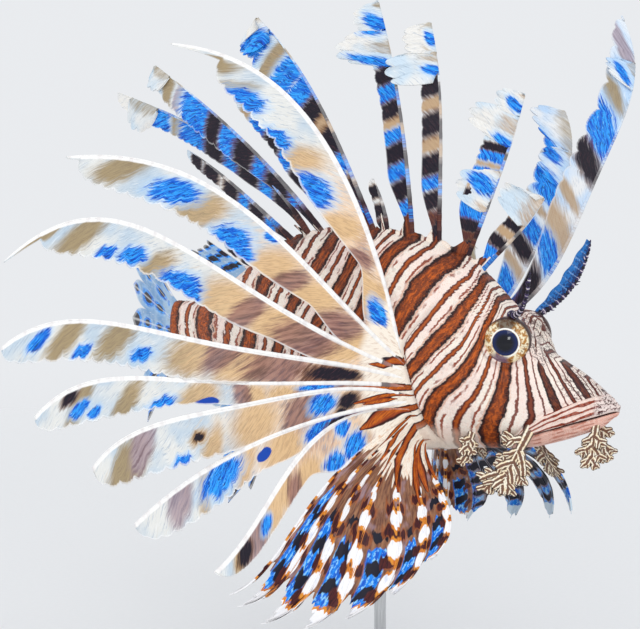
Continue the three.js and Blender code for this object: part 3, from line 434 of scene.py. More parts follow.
# ---------------------------------------------------------------- node materials
class Mat:
    def __init__(self, name):
        self.mat = bpy.data.materials.new(name)
        self.mat.use_nodes = True
        self.nt = self.mat.node_tree
        self.nt.nodes.clear()
        self.at = {}

    def new(self, kind, **props):
        n = self.nt.nodes.new(kind)
        for k, x in props.items():
            setattr(n, k, x)
        return n

    def put(self, socket, x):
        if isinstance(x, bpy.types.NodeSocket):
            self.nt.links.new(x, socket)
        elif x is not None:
            if hasattr(socket, "default_value"):
                if isinstance(x, (tuple, list)) and len(x) == 3 and len(socket.default_value) == 4:
                    x = (*x, 1.0)
                socket.default_value = x

    def attr(self, name, out="Fac"):
        if name not in self.at:
            self.at[name] = self.new("ShaderNodeAttribute", attribute_name=name)
        return self.at[name].outputs[out]

    def math(self, op, a, b=None, c=None, clamp=False):
        n = self.new("ShaderNodeMath", operation=op, use_clamp=clamp)
        for s, x in zip(n.inputs, (a, b, c)):
            self.put(s, x)
        return n.outputs[0]

    def add(self, a, b): return self.math("ADD", a, b)
    def sub(self, a, b): return self.math("SUBTRACT", a, b)
    def mul(self, a, b): return self.math("MULTIPLY", a, b)
    def inv(self, a): return self.math("SUBTRACT", 1.0, a)
    def big(self, a, b): return self.math("MAXIMUM", a, b)
    def low(self, a, b): return self.math("MINIMUM", a, b)
    def absv(self, a): return self.math("ABSOLUTE", a)
    def fract(self, a): return self.math("FRACT", a)

    def step(self, x, lo, hi):
        """smooth step from 0 at lo to 1 at hi"""
        n = self.new("ShaderNodeMapRange", interpolation_type="SMOOTHSTEP")
        self.put(n.inputs["Value"], x)
        flip = isinstance(lo, (int, float)) and isinstance(hi, (int, float)) and lo > hi
        self.put(n.inputs["From Min"], hi if flip else lo)
        self.put(n.inputs["From Max"], lo if flip else hi)
        n.inputs["To Min"].default_value = 1.0 if flip else 0.0
        n.inputs["To Max"].default_value = 0.0 if flip else 1.0
        return n.outputs[0]

    def mix(self, f, a, b, blend="MIX"):
        n = self.new("ShaderNodeMix", data_type="RGBA", blend_type=blend)
        self.put(n.inputs[0], f); self.put(n.inputs[6], a); self.put(n.inputs[7], b)
        return n.outputs[2]

    def vec(self, x, y, z):
        n = self.new("ShaderNodeCombineXYZ")
        for s, k in zip(n.inputs, (x, y, z)):
            self.put(s, k)
        return n.outputs[0]

    def split(self, v):
        n = self.new("ShaderNodeSeparateXYZ")
        self.put(n.inputs[0], v)
        return n.outputs

    def rgb(self, v):
        n = self.new("ShaderNodeSeparateColor")
        self.put(n.inputs[0], v)
        return n.outputs

    def scale(self, v, s):
        n = self.new("ShaderNodeVectorMath", operation="MULTIPLY")
        self.put(n.inputs[0], v)
        n.inputs[1].default_value = s if isinstance(s, tuple) else (s, s, s)
        return n.outputs[0]

    def place(self):
        """position in millimetres"""
        if "place" not in self.at:
            self.at["place"] = self.new("ShaderNodeTexCoord")
            self.at["mm"] = self.scale(self.at["place"].outputs["Object"], 1000.0)
        return self.at["mm"]

    def noise(self, v, scale=1.0, detail=2.0, rough=0.55, distort=0.0, centred=False):
        n = self.new("ShaderNodeTexNoise")
        self.put(n.inputs["Vector"], v)
        n.inputs["Scale"].default_value = scale
        n.inputs["Detail"].default_value = detail
        n.inputs["Roughness"].default_value = rough
        n.inputs["Distortion"].default_value = distort
        out = n.outputs["Fac"]
        return self.sub(out, 0.5) if centred else out

    def voronoi(self, v, scale=1.0, feature="F1", out="Distance", randomness=1.0):
        n = self.new("ShaderNodeTexVoronoi", feature=feature)
        self.put(n.inputs["Vector"], v)
        n.inputs["Scale"].default_value = scale
        n.inputs["Randomness"].default_value = randomness
        return n.outputs[out]

    def bump(self, height, strength=0.3, distance=0.0003, normal=None):
        n = self.new("ShaderNodeBump")
        n.inputs["Strength"].default_value = strength
        n.inputs["Distance"].default_value = distance
        self.put(n.inputs["Height"], height)
        if normal is not None:
            self.put(n.inputs["Normal"], normal)
        return n.outputs[0]

    def finish(self, color, rough=0.5, normal=None, spec=0.5, coat=0.0, coat_rough=0.1, metal=0.0, glow=None, sss=0.0, sss_radius=(0.6, 0.3, 0.2), lit=None):
        b = self.new("ShaderNodeBsdfPrincipled")
        self.put(b.inputs["Base Color"], color)
        self.put(b.inputs["Roughness"], rough)
        self.put(b.inputs["Metallic"], metal)
        b.inputs["Specular IOR Level"].default_value = spec
        b.inputs["Coat Weight"].default_value = coat
        b.inputs["Coat Roughness"].default_value = coat_rough
        if normal is not None:
            self.put(b.inputs["Normal"], normal)
        if lit is not None:
            self.put(b.inputs["Emission Color"], color)
            b.inputs["Emission Strength"].default_value = lit
        o = self.new("ShaderNodeOutputMaterial")
        self.nt.links.new(b.outputs[0], o.inputs[0])
        return self.mat


# ---------------------------------------------------------------- markings of the body
# The wide stripes are numbered from the tail to the snout. Each list says where that stripe (or a line
# between two) runs: distance behind the snout in mm, and degrees down from the back.
STRIPES = {
    -4.5: [(228.1, 65)], -4: [(213.5, 41), (211.9, 75)], -3.5: [(174.8, 55), (181.5, 90)],
    -3: [(157.5, 56), (159.2, 68), (161.4, 94)], -2.5: [(137.6, 37), (149.1, 63)], -2: [(129.2, 43), (132.9, 58), (137.5, 70)],
    -1.5: [(123.5, 50)], -1: [(115.5, 49), (116.1, 56), (117.4, 62), (126.4, 79)], 0: [(99.2, 21), (101.9, 33), (104.9, 42)],
    0.5: [(88.0, 14), (89.8, 24), (93.9, 36), (95.4, 44)],
    1: [(75.3, 5), (78.6, 22), (81.7, 34), (84.7, 45), (87.1, 55), (88.8, 65), (89.4, 74)],
    1.5: [(65.5, 17), (68.9, 22), (71.9, 32), (74.5, 42), (76.0, 51), (76.6, 58), (79.1, 68), (82.6, 76)],
    2: [(63.0, 26), (61.3, 37), (65.6, 53), (69.2, 63), (73.9, 72), (76.4, 78), (78.3, 87)],
    2.5: [(60.8, 57), (62.9, 67), (68.4, 77), (73.6, 89), (77.4, 97)],
    3: [(55.4, 27), (56.9, 43), (57.7, 53), (56.2, 62), (56.1, 69), (59.7, 81), (64.2, 88), (68.7, 98), (73.7, 107)],
    3.5: [(52.7, 68), (52.4, 80), (54.6, 96), (56.7, 107), (60.7, 118)],
    4: [(47.0, 24), (46.3, 64), (44.4, 69), (44.7, 82), (45.8, 100), (46.7, 117), (46.1, 138)],
    4.27: [(40.5, 60), (38.3, 68), (38.1, 83), (38.7, 101), (40.3, 116)],
    4.5: [(37.9, 53), (35.1, 61), (32.6, 75), (30.1, 88), (29.3, 101)],
    4.73: [(34.1, 50), (30.6, 63), (28.2, 77), (25.2, 94)],
    5: [(43.3, 2), (37.9, 21), (32.1, 37), (28.2, 47), (26.3, 61), (21.7, 78)],
    5.4: [(27.3, 38), (22.3, 55), (17.8, 71)], 5.7: [(25.7, 32), (18.8, 48), (14.4, 63)], 6: [(22.5, 16), (16.1, 31), (12.8, 48)],
}


def thin_plate():
    pts = np.array([(u, 0.6 * a) for k in STRIPES for u, a in STRIPES[k]], float)
    val = np.array([k for k in STRIPES for _ in STRIPES[k]], float)

    def kern(d2):
        return 0.25 * d2 * np.log(np.maximum(d2, 1e-9))
    n = len(pts)
    K = kern(((pts[:, None] - pts[None]) ** 2).sum(-1)) + 150 * np.eye(n)
    Q = np.hstack([np.ones((n, 1)), pts])
    M = np.block([[K, Q], [Q.T, np.zeros((3, 3))]])
    c = np.linalg.solve(M, np.concatenate([val, np.zeros(3)]))
    gu, ga = np.arange(-3, 262, 0.5), np.arange(12, 141, 1.0)
    U, A = np.meshgrid(gu, ga, indexing="ij")
    X = np.stack([U.ravel(), 0.6 * A.ravel()], -1)
    out = np.empty(len(X))
    for i in range(0, len(X), 8000):
        d2 = ((X[i:i + 8000, None] - pts[None]) ** 2).sum(-1)
        out[i:i + 8000] = kern(d2) @ c[:n] + c[n] + X[i:i + 8000] @ c[n + 1:]
    F = out.reshape(U.shape)

    def phase(u, a):
        u, a = np.clip(u, -3, 261.4), np.clip(a, 12, 139.9)
        x, y = (u + 3) / 0.5, a - 12
        i, j = np.floor(x).astype(int), np.floor(y).astype(int)
        i, j = np.minimum(i, F.shape[0] - 2), np.minimum(j, F.shape[1] - 2)
        fx, fy = x - i, y - j
        return (F[i, j] * (1 - fx) * (1 - fy) + F[i + 1, j] * fx * (1 - fy) + F[i, j + 1] * (1 - fx) * fy + F[i + 1, j + 1] * fx * fy)
    return phase


phase = thin_plate()


def mouth_n(u):
    return -1.6 - 18.9 * u / 35


def side_info(u, th):
    a = from_top(th)
    y, z = local(u, th, 0.0)
    return a, np.abs(y), z


def plate_height(u):
    """how far the upper jaw bone reaches above the mouth line"""
    return np.interp(u, [-2, 0, 4, 8, 16, 26, 33, 37], [4.5, 6.5, 9.0, 10.2, 9.6, 7.6, 4.4, 1.2])


def markings(u, th):
    a, y, z = side_info(u, th)
    ph = phase(u, a)
    hw = np.interp(ph, [-4, 1, 2, 3, 4, 5, 6], [0.21, 0.20, 0.19, 0.16, 0.15, 0.12, 0.14])
    warm = (0.25 + 0.75 * sm((a - 8) / 30)) * sm((u - 30) / 22) * (1 - 0.45 * sm((u - 95) / 25) * (1 - sm((u - 150) / 25)))
    warm = np.maximum(warm, 0.75 * sm((u - 150) / 25) * sm((a - 30) / 25))
    snout = (1 - sm((u - 12) / 20)) * (1 - sm((a - 55) / 25))
    rho_ = np.hypot(u - EYE["u"], z - EYE["up"])
    brow = sm((u - 27) / 5) * (1 - sm((u - 45) / 5)) * (1 - sm((a - 36) / 8)) * np.maximum(sm((rho_ - 9.0) / 1.2), 1 - sm((a - 30) / 8))
    hw = hw * (1 - 0.92 * brow)
    snout = np.maximum(snout, 0.95 * brow)
    dz = z - mouth_n(u)
    below = sm((-dz + 0.2) / 1.0) * (1 - sm((u - 37) / 5)) * sm((a - 40) / 10)
    h = plate_height(u)
    upper = sm((dz + 0.2) / 0.8) * (1 - sm((dz - h + 0.6) / 1.4)) * (1 - sm((u - 35) / 3))
    dz = np.where(dz > 0, dz / np.maximum(h, 1.0) * 6.0, dz)
    rho = np.hypot(u - EYE["u"], z - EYE["up"])
    # orange lobe where the pectoral rays leave the body
    f = np.clip((a - 83) / 68, -0.2, 1.2)
    base_u = RAY_ROOT["u0"] + (RAY_ROOT["u1"] - RAY_ROOT["u0"]) * f
    ge = gill_edge(a)
    lobe = sm((u - ge - 0.2) / 0.8) * (1 - sm((u - base_u - 1.5) / 3.0)) * sm((a - 74) / 8) * (1 - sm((a - 160) / 10))
    belly = sm((a - 118) / 22) * sm((u - 45) / 20)
    k = np.clip((a - 83) / 68, -0.2, 1.2) * 14
    hub = np.where(lobe > 0.02, hub_field(k, -(base_u - u) if False else u - base_u), 0)
    return dict(pat=np.stack([ph, hw, warm], -1), ua=np.stack([u, a, np.sign(np.cos(th)) + 0 * u], -1),
                msk=np.stack([snout, below, upper, lobe], -1), eyr=np.stack([rho, dz, belly], -1), hub=hub[..., None], ge=(u - ge)[..., None])


# ---------------------------------------------------------------- relief of the skin
SPINE_U = [s["u"] for s in SPINES]


def relief(u, th):
    """millimetres added along the body's cross-section"""
    a, y, z = side_info(u, th)
    r = np.full(np.shape(a), -0.55)
    ge = gill_edge(a)
    e = u - ge
    gate = sm((a - 42) / 20) * (1 - 0.5 * sm((a - 150) / 20))
    r = r + gate * (0.55 * np.exp(-((e + 2.2) / 3.2) ** 2) * (e < 0) - 1.7 * np.exp(-(np.maximum(e, 0) / 1.3) ** 2) * (e >= -0.35) * np.exp(-(np.minimum(e, 0) / 0.3) ** 2) + 0.45 * np.exp(-((e + 2.2) / 3.2) ** 2) * (e >= 0))
    # bony ridges: under the eye, and before the gill cover
    r = r + 0.55 * bell(z - (EYE["up"] - 15.5 - 0.16 * (u - 40)), 0, 1.6) * sm((u - 22) / 8) * (1 - sm((u - 62) / 6)) * sm((a - 50) / 10)
    pre = 60 + 9 * sm((a - 70) / 55) - 4 * bell(a, 140, 20)
    r = r + gate * (0.5 * bell(u - pre, 0, 2.2) - 0.5 * bell(u - pre - 4.2, 0, 1.6))
    # mouth: the lips part along a line, the upper jaw bone stands over the lower jaw
    dz = z - mouth_n(u)
    front = (1 - sm((u - 35.5) / 2.5)) * sm((a - 35) / 12)
    r = r - 1.5 * front * np.exp(-(dz / 0.55) ** 2)
    r = r + front * (0.55 * bell(dz, 1.5, 1.3) + 0.5 * bell(dz, -1.5, 1.2)) - 0.45 * front * sm((-dz - 0.5) / 1.5)
    top_edge = plate_height(u)
    v = np.clip(dz / top_edge, 0, 1)
    mid_face = sm((a - 20) / 15) * (1 - sm((u - 36) / 2.5))
    r = r + mid_face * (1.15 * np.sin(np.pi * v) ** 0.8 + 0.12 * np.cos(v * 2 * np.pi * 4.5) * sm(v / 0.15) * (1 - sm((v - 0.85) / 0.15)))
    r = r - 0.75 * mid_face * bell(dz, top_edge + 0.9, 0.9)
    r = r + 0.5 * mid_face * bell(u, 31, 2.5) * bell(dz, top_edge * 0.8, 1.6)
    # the chin is full and round
    r = r + 0.9 * (1 - sm((u - 30) / 8)) * bell(-dz, 4.5, 2.6) * sm((a - 60) / 20)
    # nostrils and the knobs around them
    for nu, na, h, wd in ((24.5, 34, 0.9, 2.0), (21.5, 40, -1.3, 1.0), (28, 44, -1.2, 1.0), (31, 36, 0.7, 1.8)):
        arc = (a - na) * 0.24
        r = r + h * np.exp(-((u - nu) ** 2 + arc ** 2) / wd ** 2)
    # distance from the eye and a weight on the side of the head, neither of them used
    rho = np.hypot(u - EYE["u"], z - EYE["up"])
    lateral = sm((y - 8) / 3)
    # sheaths around the spines, and the fleshy root of the pectoral fin
    for su in SPINE_U:
        r = r + 2.0 * bell(u - su + 0.02 * a, 0, 2.2) * bell(a, 0, 7)
    f = np.clip((a - 83) / 68, 0, 1)
    base_u = RAY_ROOT["u0"] + (RAY_ROOT["u1"] - RAY_ROOT["u0"]) * f
    pad = sm((a - 70) / 12) * (1 - sm((a - 154) / 10))
    r = r + pad * (0.8 * bell(u - base_u, 0, 4.5) + 0.35 * bell(u - base_u, 0, 2.5) * np.cos(2 * np.pi * f * 14))
    # soft lumps
    s = np.sign(np.cos(th))
    r = r + 0.10 * np.sin(u / 3.1 + 1.3 * s) * np.sin(a / 7.3 + 0.7) + 0.07 * np.sin(u / 1.9 + 2.0) * np.sin(a / 4.1 + s)
    # lateral line
    r = r - 0.18 * bell((a - 62 - 0.12 * (u - 100)) * 0.5, 0, 0.7) * sm((u - 90) / 8)
    return r


def eye_axes(side):
    """middle of the ball, then the axes forward, up and outward; the eye looks a little forward"""
    p, t, s, n = frame_at(np.array(float(EYE["u"])))
    c, k = math.cos(EYE["turn"] * RAD), math.sin(EYE["turn"] * RAD)
    out = s * side * c - t * k
    ahead = -t * c - s * side * k
    return p + s * side * EYE["side"] + n * EYE["up"], ahead, n, out


def surface(u, th, extra=0.0):
    u, th = np.broadcast_arrays(np.asarray(u, float), np.asarray(th, float))
    y, z = local(u, th, relief(u, th) + extra)
    p, t, s, n = frame_at(u)
    P = p + s * y[..., None] + n * z[..., None]
    for side in (-1, 1):
        mid, ahead, up, out = eye_axes(side)
        d = P - mid
        a, b, c = d @ ahead, d @ up, d @ out
        rho = np.hypot(a, b)
        ball = EYE["depth"] * np.sqrt(np.clip(1 - (rho / EYE["radius"]) ** 2, 0, 1)) - 0.55
        inside = (1 - sm((rho - 8.5) / 0.9)) * (c > -2)
        lid = (0.85 * bell(rho, 9.8, 0.9) - 0.35 * bell(rho, 12.0, 0.9) + 0.2 * bell(rho, 13.6, 0.8)) * (c > -2) * (np.abs(u - EYE["u"]) < 20)
        P = P + out * ((np.minimum(c, ball) - c) * inside + lid)[..., None]
    return P


def build_skin():
    nv = 284
    cap_a = [(-1.2 * math.cos(x), math.sin(x)) for x in np.linspace(0.18, 1.45, 8)]
    us = np.concatenate([np.linspace(0.12, 92, 196), np.linspace(92.9, 247.4, 112)])
    cap_b = [(247.5 + 2.0 * math.sin(x), math.cos(x)) for x in np.linspace(0.12, 1.45, 6)]
    U = np.concatenate([[c[0] for c in cap_a], us, [c[0] for c in cap_b]])
    S = np.concatenate([[c[1] for c in cap_a], np.ones(len(us)), [c[1] for c in cap_b]])
    th = (np.arange(nv) + 0.5) / nv * 2 * np.pi + 0.5 * np.pi
    UU, TT = np.meshgrid(U, th, indexing="ij")
    P = surface(UU, TT)
    C = in_frame(U, 0 * U, np.where(U < 20, -1.5, 2.0))
    P = C[:, None] + (P - C[:, None]) * S[:, None, None]
    v = np.concatenate([P.reshape(-1, 3), in_frame(np.array([-1.25, 249.6]), np.array([0, 0]), np.array([-1.5, 2.0]))])
    n = len(U)
    q = grid_quads(n, nv, True)
    j = np.arange(nv); k = (j + 1) % nv
    t = np.concatenate([np.stack([np.full(nv, n * nv), j, k], -1), np.stack([np.full(nv, n * nv + 1), (n - 1) * nv + k, (n - 1) * nv + j], -1)])
    at = markings(UU, TT)
    at = {k2: np.concatenate([x.reshape(n * nv, -1), x[0, 0][None], x[-1, 0][None]]) for k2, x in at.items()}
    b = Build()
    b.add(v, q, t, **at)
    return b.done("skin", SKIN, ["head", "jaw", "trunk", "tail_peduncle"])


def build_scales():
    """Small overlapping plates over the trunk, tail and cheeks, each one rooted in the skin."""
    us, ths = [], []
    row = 0
    u = 40.0
    while u < 246:
        y, z = local(np.full(361, u), np.linspace(0, 2 * np.pi, 361), -0.5)
        arc = np.concatenate([[0], np.cumsum(np.hypot(np.diff(y), np.diff(z)))])
        pitch = np.interp(u, [40, 90, 150, 246], [1.7, 2.05, 1.9, 1.45])
        n = max(int(arc[-1] / pitch), 8)
        at = (np.arange(n) + 0.5 * (row % 2)) / n * arc[-1]
        th = np.interp(at % arc[-1], arc, np.linspace(0, 2 * np.pi, 361))
        us.append(np.full(n, u)); ths.append(th)
        u += pitch * 0.72
        row += 1
    u, th = np.concatenate(us), np.concatenate(ths)
    u = u + rng.normal(0, 0.10, len(u)); th = th + rng.normal(0, 0.006, len(u))
    a, y, z = side_info(u, th)
    ge = gill_edge(a)
    rho = np.hypot(u - EYE["u"], z - EYE["up"])
    f = np.clip((a - 83) / 68, 0, 1)
    base_u = RAY_ROOT["u0"] + (RAY_ROOT["u1"] - RAY_ROOT["u0"]) * f
    pad = (np.abs(u - base_u) < 5) & (a > 70) & (a < 160)
    trunk = (u > ge + 2.5) & ~pad
    cheek = (u < ge - 3.5) & (u > 47) & (a > 52) & (a < 128) & (rho > 15.5) & (np.abs(u - (60 + 9 * sm((a - 70) / 55))) > 2.0)
    nape = (u > 56) & (a < 48) & (a > 5)
    keep = (trunk | cheek | nape) & (u < 245.5) & ~((a < 5) & (u < 185))
    u, th = u[keep], th[keep]
    h = 0.3
    P = surface(u, th)
    tu = surface(u + h, th) - surface(u - h, th)
    tt = surface(u, th + 0.01) - surface(u, th - 0.01)
    lu, lt = np.linalg.norm(tu, axis=1) / (2 * h), np.linalg.norm(tt, axis=1) / 0.02
    tu /= np.linalg.norm(tu, axis=1, keepdims=True)
    tt /= np.linalg.norm(tt, axis=1, keepdims=True)
    nn = np.cross(tu, tt); nn /= np.linalg.norm(nn, axis=1, keepdims=True)
    nn *= np.sign(np.einsum("ij,ij->i", nn, P - in_frame(u, 0 * u, 0 * u + 3)))[:, None]
    bb = np.cross(nn, tu)
    size = np.interp(u, [40, 90, 150, 246], [0.98, 1.18, 1.08, 0.85]) * rng.normal(1, 0.06, len(u))
    shape = np.array([[-0.75, 0.0], [-0.45, 0.72], [0.25, 0.98], [0.82, 0.66], [1.12, 0.0], [0.82, -0.66], [0.25, -0.98], [-0.45, -0.72]])
    lift = np.array([-0.14, -0.10, 0.06, 0.15, 0.20, 0.15, 0.06, -0.10])
    tilt = rng.normal(0, 0.03, len(u))
    n = len(u)
    X = shape[None, :, 0] * size[:, None]; Y = shape[None, :, 1] * size[:, None]
    Z = lift[None] + tilt[:, None] * shape[None, :, 1]
    top = P[:, None] + tu[:, None] * X[..., None] + bb[:, None] * Y[..., None] + nn[:, None] * Z[..., None]
    mid = P + tu * (0.2 * size)[:, None] + nn * 0.19
    low = P[:, None] + tu[:, None] * (X * 0.96)[..., None] + bb[:, None] * (Y * 0.96)[..., None] - nn[:, None] * 0.30
    V = np.concatenate([top, mid[:, None], low], 1)          # 17 points a scale
    Xa = np.concatenate([X, (0.2 * size)[:, None], X], 1); Ya = np.concatenate([Y, 0 * size[:, None], Y], 1)
    uu = u[:, None] + Xa / lu[:, None]
    tth = th[:, None] + Ya / lt[:, None] * np.sign(np.einsum("ij,ij->i", bb, tt))[:, None]
    faces_t = np.array([[j, (j + 1) % 8, 8] for j in range(8)] + [[9, 9 + j + 1, 9 + j] for j in range(1, 7)])
    faces_q = np.array([[j, 9 + j, 9 + (j + 1) % 8, (j + 1) % 8] for j in range(8)])
    flip = signed_volume(V[0] - V[0].mean(0), faces_q, faces_t) < 0
    if flip:
        faces_q, faces_t = faces_q[:, ::-1], faces_t[:, ::-1]
    at = markings(uu, tth)
    tone = np.repeat(rng.normal(0, 1, n)[:, None], 17, 1)
    root = np.stack([0.03 + 0.94 * (u - 38) / 212, 0.03 + 0.94 * ((th - np.pi / 2) % (2 * np.pi)) / (2 * np.pi)], -1)
    uv = root[:, None] + np.stack([Xa, Ya], -1) / np.maximum(size, 0.5)[:, None, None] * 0.0014
    tris_each = 8 + 6 + 16
    per = 170000 // tris_each
    for part in range(0, n, per):
        sel = slice(part, min(part + per, n)); m = sel.stop - sel.start
        off = (np.arange(m) * 17)[:, None, None]
        b = Build()
        b.add(V[sel].reshape(-1, 3), (faces_q[None] + off).reshape(-1, 4), (faces_t[None] + off).reshape(-1, 3), uv=uv[sel].reshape(-1, 2), orient=False,
              tone=tone[sel].reshape(-1, 1), **{k: x[sel].reshape(m * 17, -1) for k, x in at.items()})
        b.done(f"scales_{part // per + 1}", SCALE, with_uv=True, smooth=False)


def skin_material(name, scales):
    m = Mat(name)
    ph, hw, warm = m.split(m.attr("pat", "Vector"))
    u, a, side = m.split(m.attr("ua", "Vector"))
    rho, dz, belly = m.split(m.attr("eyr", "Vector"))
    msk = m.rgb(m.attr("msk", "Color")); snout, below, upper = msk[0], msk[1], msk[2]
    lobe = m.attr("msk", "Alpha")
    mm = m.place()
    wob = m.noise(mm, 0.28, 3.0, 0.6, centred=True)
    wob2 = m.noise(mm, 1.3, 2.0, 0.6, centred=True)
    amp = m.add(0.10, m.mul(m.step(u, 95.0, 150.0), 0.10))
    p = m.add(ph, m.add(m.mul(wob, amp), m.mul(wob2, 0.045)))
    f = m.fract(m.add(p, 10.0))
    dw = m.low(f, m.inv(f))
    width = m.add(hw, m.mul(m.noise(mm, 0.16, 1.0, 0.5, centred=True), 0.10))
    q = m.math("DIVIDE", dw, width)
    W = m.step(q, 1.10, 0.93)
    core = m.step(m.add(q, m.mul(wob2, 0.8)), 0.86, 0.30)
    dm = m.absv(m.sub(f, 0.5))
    M = m.step(dm, 0.078, 0.052)
    mcore = m.step(dm, 0.045, 0.012)
    dt = m.low(m.absv(m.sub(f, 0.275)), m.absv(m.sub(f, 0.725)))
    # thin lines fade in and out along their run
    broken = m.step(m.noise(mm, 0.13, 1.0, 0.5), 0.40, 0.52)
    T = m.mul(m.step(dt, 0.030, 0.016), m.big(broken, m.step(u, 60.0, 46.0)))
    fine = m.noise(mm, 2.6, 3.0, 0.65)
    grit = m.noise(mm, 6.0, 2.0, 0.6)
    # pale ground, pinker towards the back, creamier on the cheek
    ground = m.mix(m.step(m.noise(mm, 0.07, 2.0), 0.35, 0.68), (0.95, 0.80, 0.73), (0.94, 0.88, 0.78))
    ground = m.mix(m.mul(m.step(fine, 0.50, 0.68), 0.62), ground, (0.82, 0.46, 0.33))
    # flecks drawn out along the stripes
    flow = m.noise(m.vec(m.mul(p, 22.0), m.mul(a, 0.16), m.mul(u, 0.05)), 1.0, 3.0, 0.65)
    hot = m.mix(m.step(flow, 0.36, 0.60), (0.58, 0.105, 0.006), (0.15, 0.020, 0.004))
    hot = m.mix(m.mul(m.step(grit, 0.50, 0.62), 0.34), hot, (0.74, 0.21, 0.018))
    cool = m.mix(m.step(flow, 0.36, 0.62), (0.22, 0.050, 0.016), (0.060, 0.013, 0.010))
    centre = m.mix(warm, cool, hot)
    edge = m.mix(warm, (0.014, 0.003, 0.005), (0.020, 0.003, 0.004))
    col = m.mix(m.mul(T, 0.95), ground, m.mix(warm, (0.14, 0.022, 0.014), (0.28, 0.042, 0.010)))
    col = m.mix(M, col, m.mix(mcore, m.mix(warm, (0.05, 0.008, 0.007), (0.10, 0.012, 0.006)), m.mix(warm, (0.20, 0.040, 0.018), (0.42, 0.085, 0.010))))
    col = m.mix(W, col, m.mix(core, edge, centre))
    # orange glow on the rim of the wide stripes
    rim = m.mul(m.step(m.absv(m.sub(q, 1.12)), 0.16, 0.02), m.mul(warm, 0.55))
    col = m.mix(m.mul(rim, m.inv(W)), col, (0.62, 0.20, 0.05))
    # root of the pectoral fin: cream, with stripes that run out onto the rays
    hub = m.add(m.attr("hub"), m.mul(wob2, 0.22))
    hcol = m.mix(m.step(hub, 0.42, 0.50), (0.95, 0.84, 0.72), m.mix(m.step(hub, 0.58, 0.70), (0.05, 0.008, 0.005), m.mix(m.step(fine, 0.35, 0.62), (0.52, 0.115, 0.010), (0.24, 0.040, 0.008))))
    col = m.mix(m.step(lobe, 0.40, 0.60), col, hcol)
    # painted shade: a dark line in the groove along the edge of the gill cover
    gl = m.step(m.absv(m.add(m.attr("ge"), m.mul(wob2, 0.5))), 0.55, 0.20)
    col = m.mix(m.mul(gl, m.mul(m.step(a, 50.0, 62.0), 0.8)), col, (0.10, 0.018, 0.012))
    # snout: dark speckled lines on pink
    lines = m.absv(m.sub(m.fract(m.add(m.mul(a, 0.115), m.mul(m.noise(mm, 0.35, 2.0), 1.9))), 0.5))
    speck = m.step(m.noise(mm, 1.5, 3.0, 0.7), 0.50, 0.60)
    dark_lines = m.big(m.step(lines, 0.13, 0.05), speck)
    col = m.mix(m.mul(m.step(snout, 0.15, 0.75), m.mul(dark_lines, 0.80)), col, (0.060, 0.018, 0.022))
    # pink jaws with lines along the mouth; the markings fade into them
    soft = m.noise(mm, 0.35, 2.0, 0.6, centred=True)
    upj = m.step(m.add(upper, m.mul(soft, 0.7)), 0.42, 0.58)
    lowj = m.step(m.add(below, m.mul(soft, 0.5)), 0.40, 0.60)
    along = m.absv(m.sub(m.fract(m.add(m.mul(dz, 0.60), m.mul(m.noise(m.vec(m.mul(u, 0.10), m.mul(dz, 0.22), 0.0), 1.0, 2.0), 1.6))), 0.5))
    pink = m.mix(m.step(fine, 0.42, 0.66), (0.92, 0.60, 0.50), (0.82, 0.36, 0.26))
    pale = m.mix(m.step(fine, 0.42, 0.66), (0.93, 0.78, 0.70), (0.88, 0.60, 0.50))
    jl = m.step(m.add(along, m.mul(wob2, 0.10)), 0.25, 0.17)
    ucol = m.mix(jl, pale, m.mix(m.step(fine, 0.36, 0.56), (0.50, 0.075, 0.012), (0.14, 0.014, 0.010)))
    lcol = m.mix(m.mul(m.mul(jl, 0.65), m.step(m.noise(mm, 0.22, 1.0), 0.44, 0.54)), pink, (0.46, 0.10, 0.05))
    col = m.mix(m.mul(upj, 0.92), col, ucol)
    col = m.mix(m.mul(lowj, 0.94), col, lcol)
    # painted shade: a near-black line along the slit where the lips part, in front of the corner of the mouth
    col = m.mix(m.mul(m.step(m.absv(dz), 0.62, 0.25), m.step(u, 36.5, 34.5)), col, (0.05, 0.012, 0.012))
    # black and white speckle over the front of the upper lip
    tip = m.mul(m.step(m.add(u, m.mul(soft, 6.0)), 9.0, 4.0), m.step(dz, 0.3, 0.9))
    col = m.mix(m.mul(tip, 0.80), col, m.mix(m.step(m.absv(m.sub(m.fract(m.add(m.mul(dz, 0.55), m.mul(m.noise(mm, 0.50, 2.0, 0.6), 3.4))), 0.5)), 0.22, 0.12), (0.86, 0.74, 0.70), (0.040, 0.014, 0.020)))
    # pale belly
    col = m.mix(m.mul(m.step(belly, 0.25, 0.95), 0.45), col, (0.86, 0.70, 0.58))
    # shadow line around the eye
    col = m.mix(m.mul(m.step(m.absv(m.sub(rho, 9.3)), 0.8, 0.2), 0.30), col, (0.07, 0.022, 0.018))
    tiny = m.noise(mm, 9.0, 2.0, 0.7)
    col = m.mix(m.mul(m.step(tiny, 0.50, 0.75), 0.35), col, (0.02, 0.008, 0.008))
    h = m.add(m.mul(m.noise(mm, 1.4, 4.0, 0.65), 0.7), m.mul(m.voronoi(m.scale(mm, (1.0, 1.0, 1.0)), 1.6), 0.35))
    if scales:
        col = m.mix(m.step(m.attr("tone"), 0.2, 2.4), col, m.mix(0.22, col, (0.03, 0.01, 0.01)))
        h = m.noise(mm, 3.0, 3.0, 0.6)
    n = m.bump(h, 0.55 if not scales else 0.35, 0.00035)
    rough = m.add(0.36, m.mul(fine, 0.22))
    return m.finish(col, rough, n, spec=0.28)


SKIN = skin_material("skin", False)
SCALE = skin_material("scale", True)


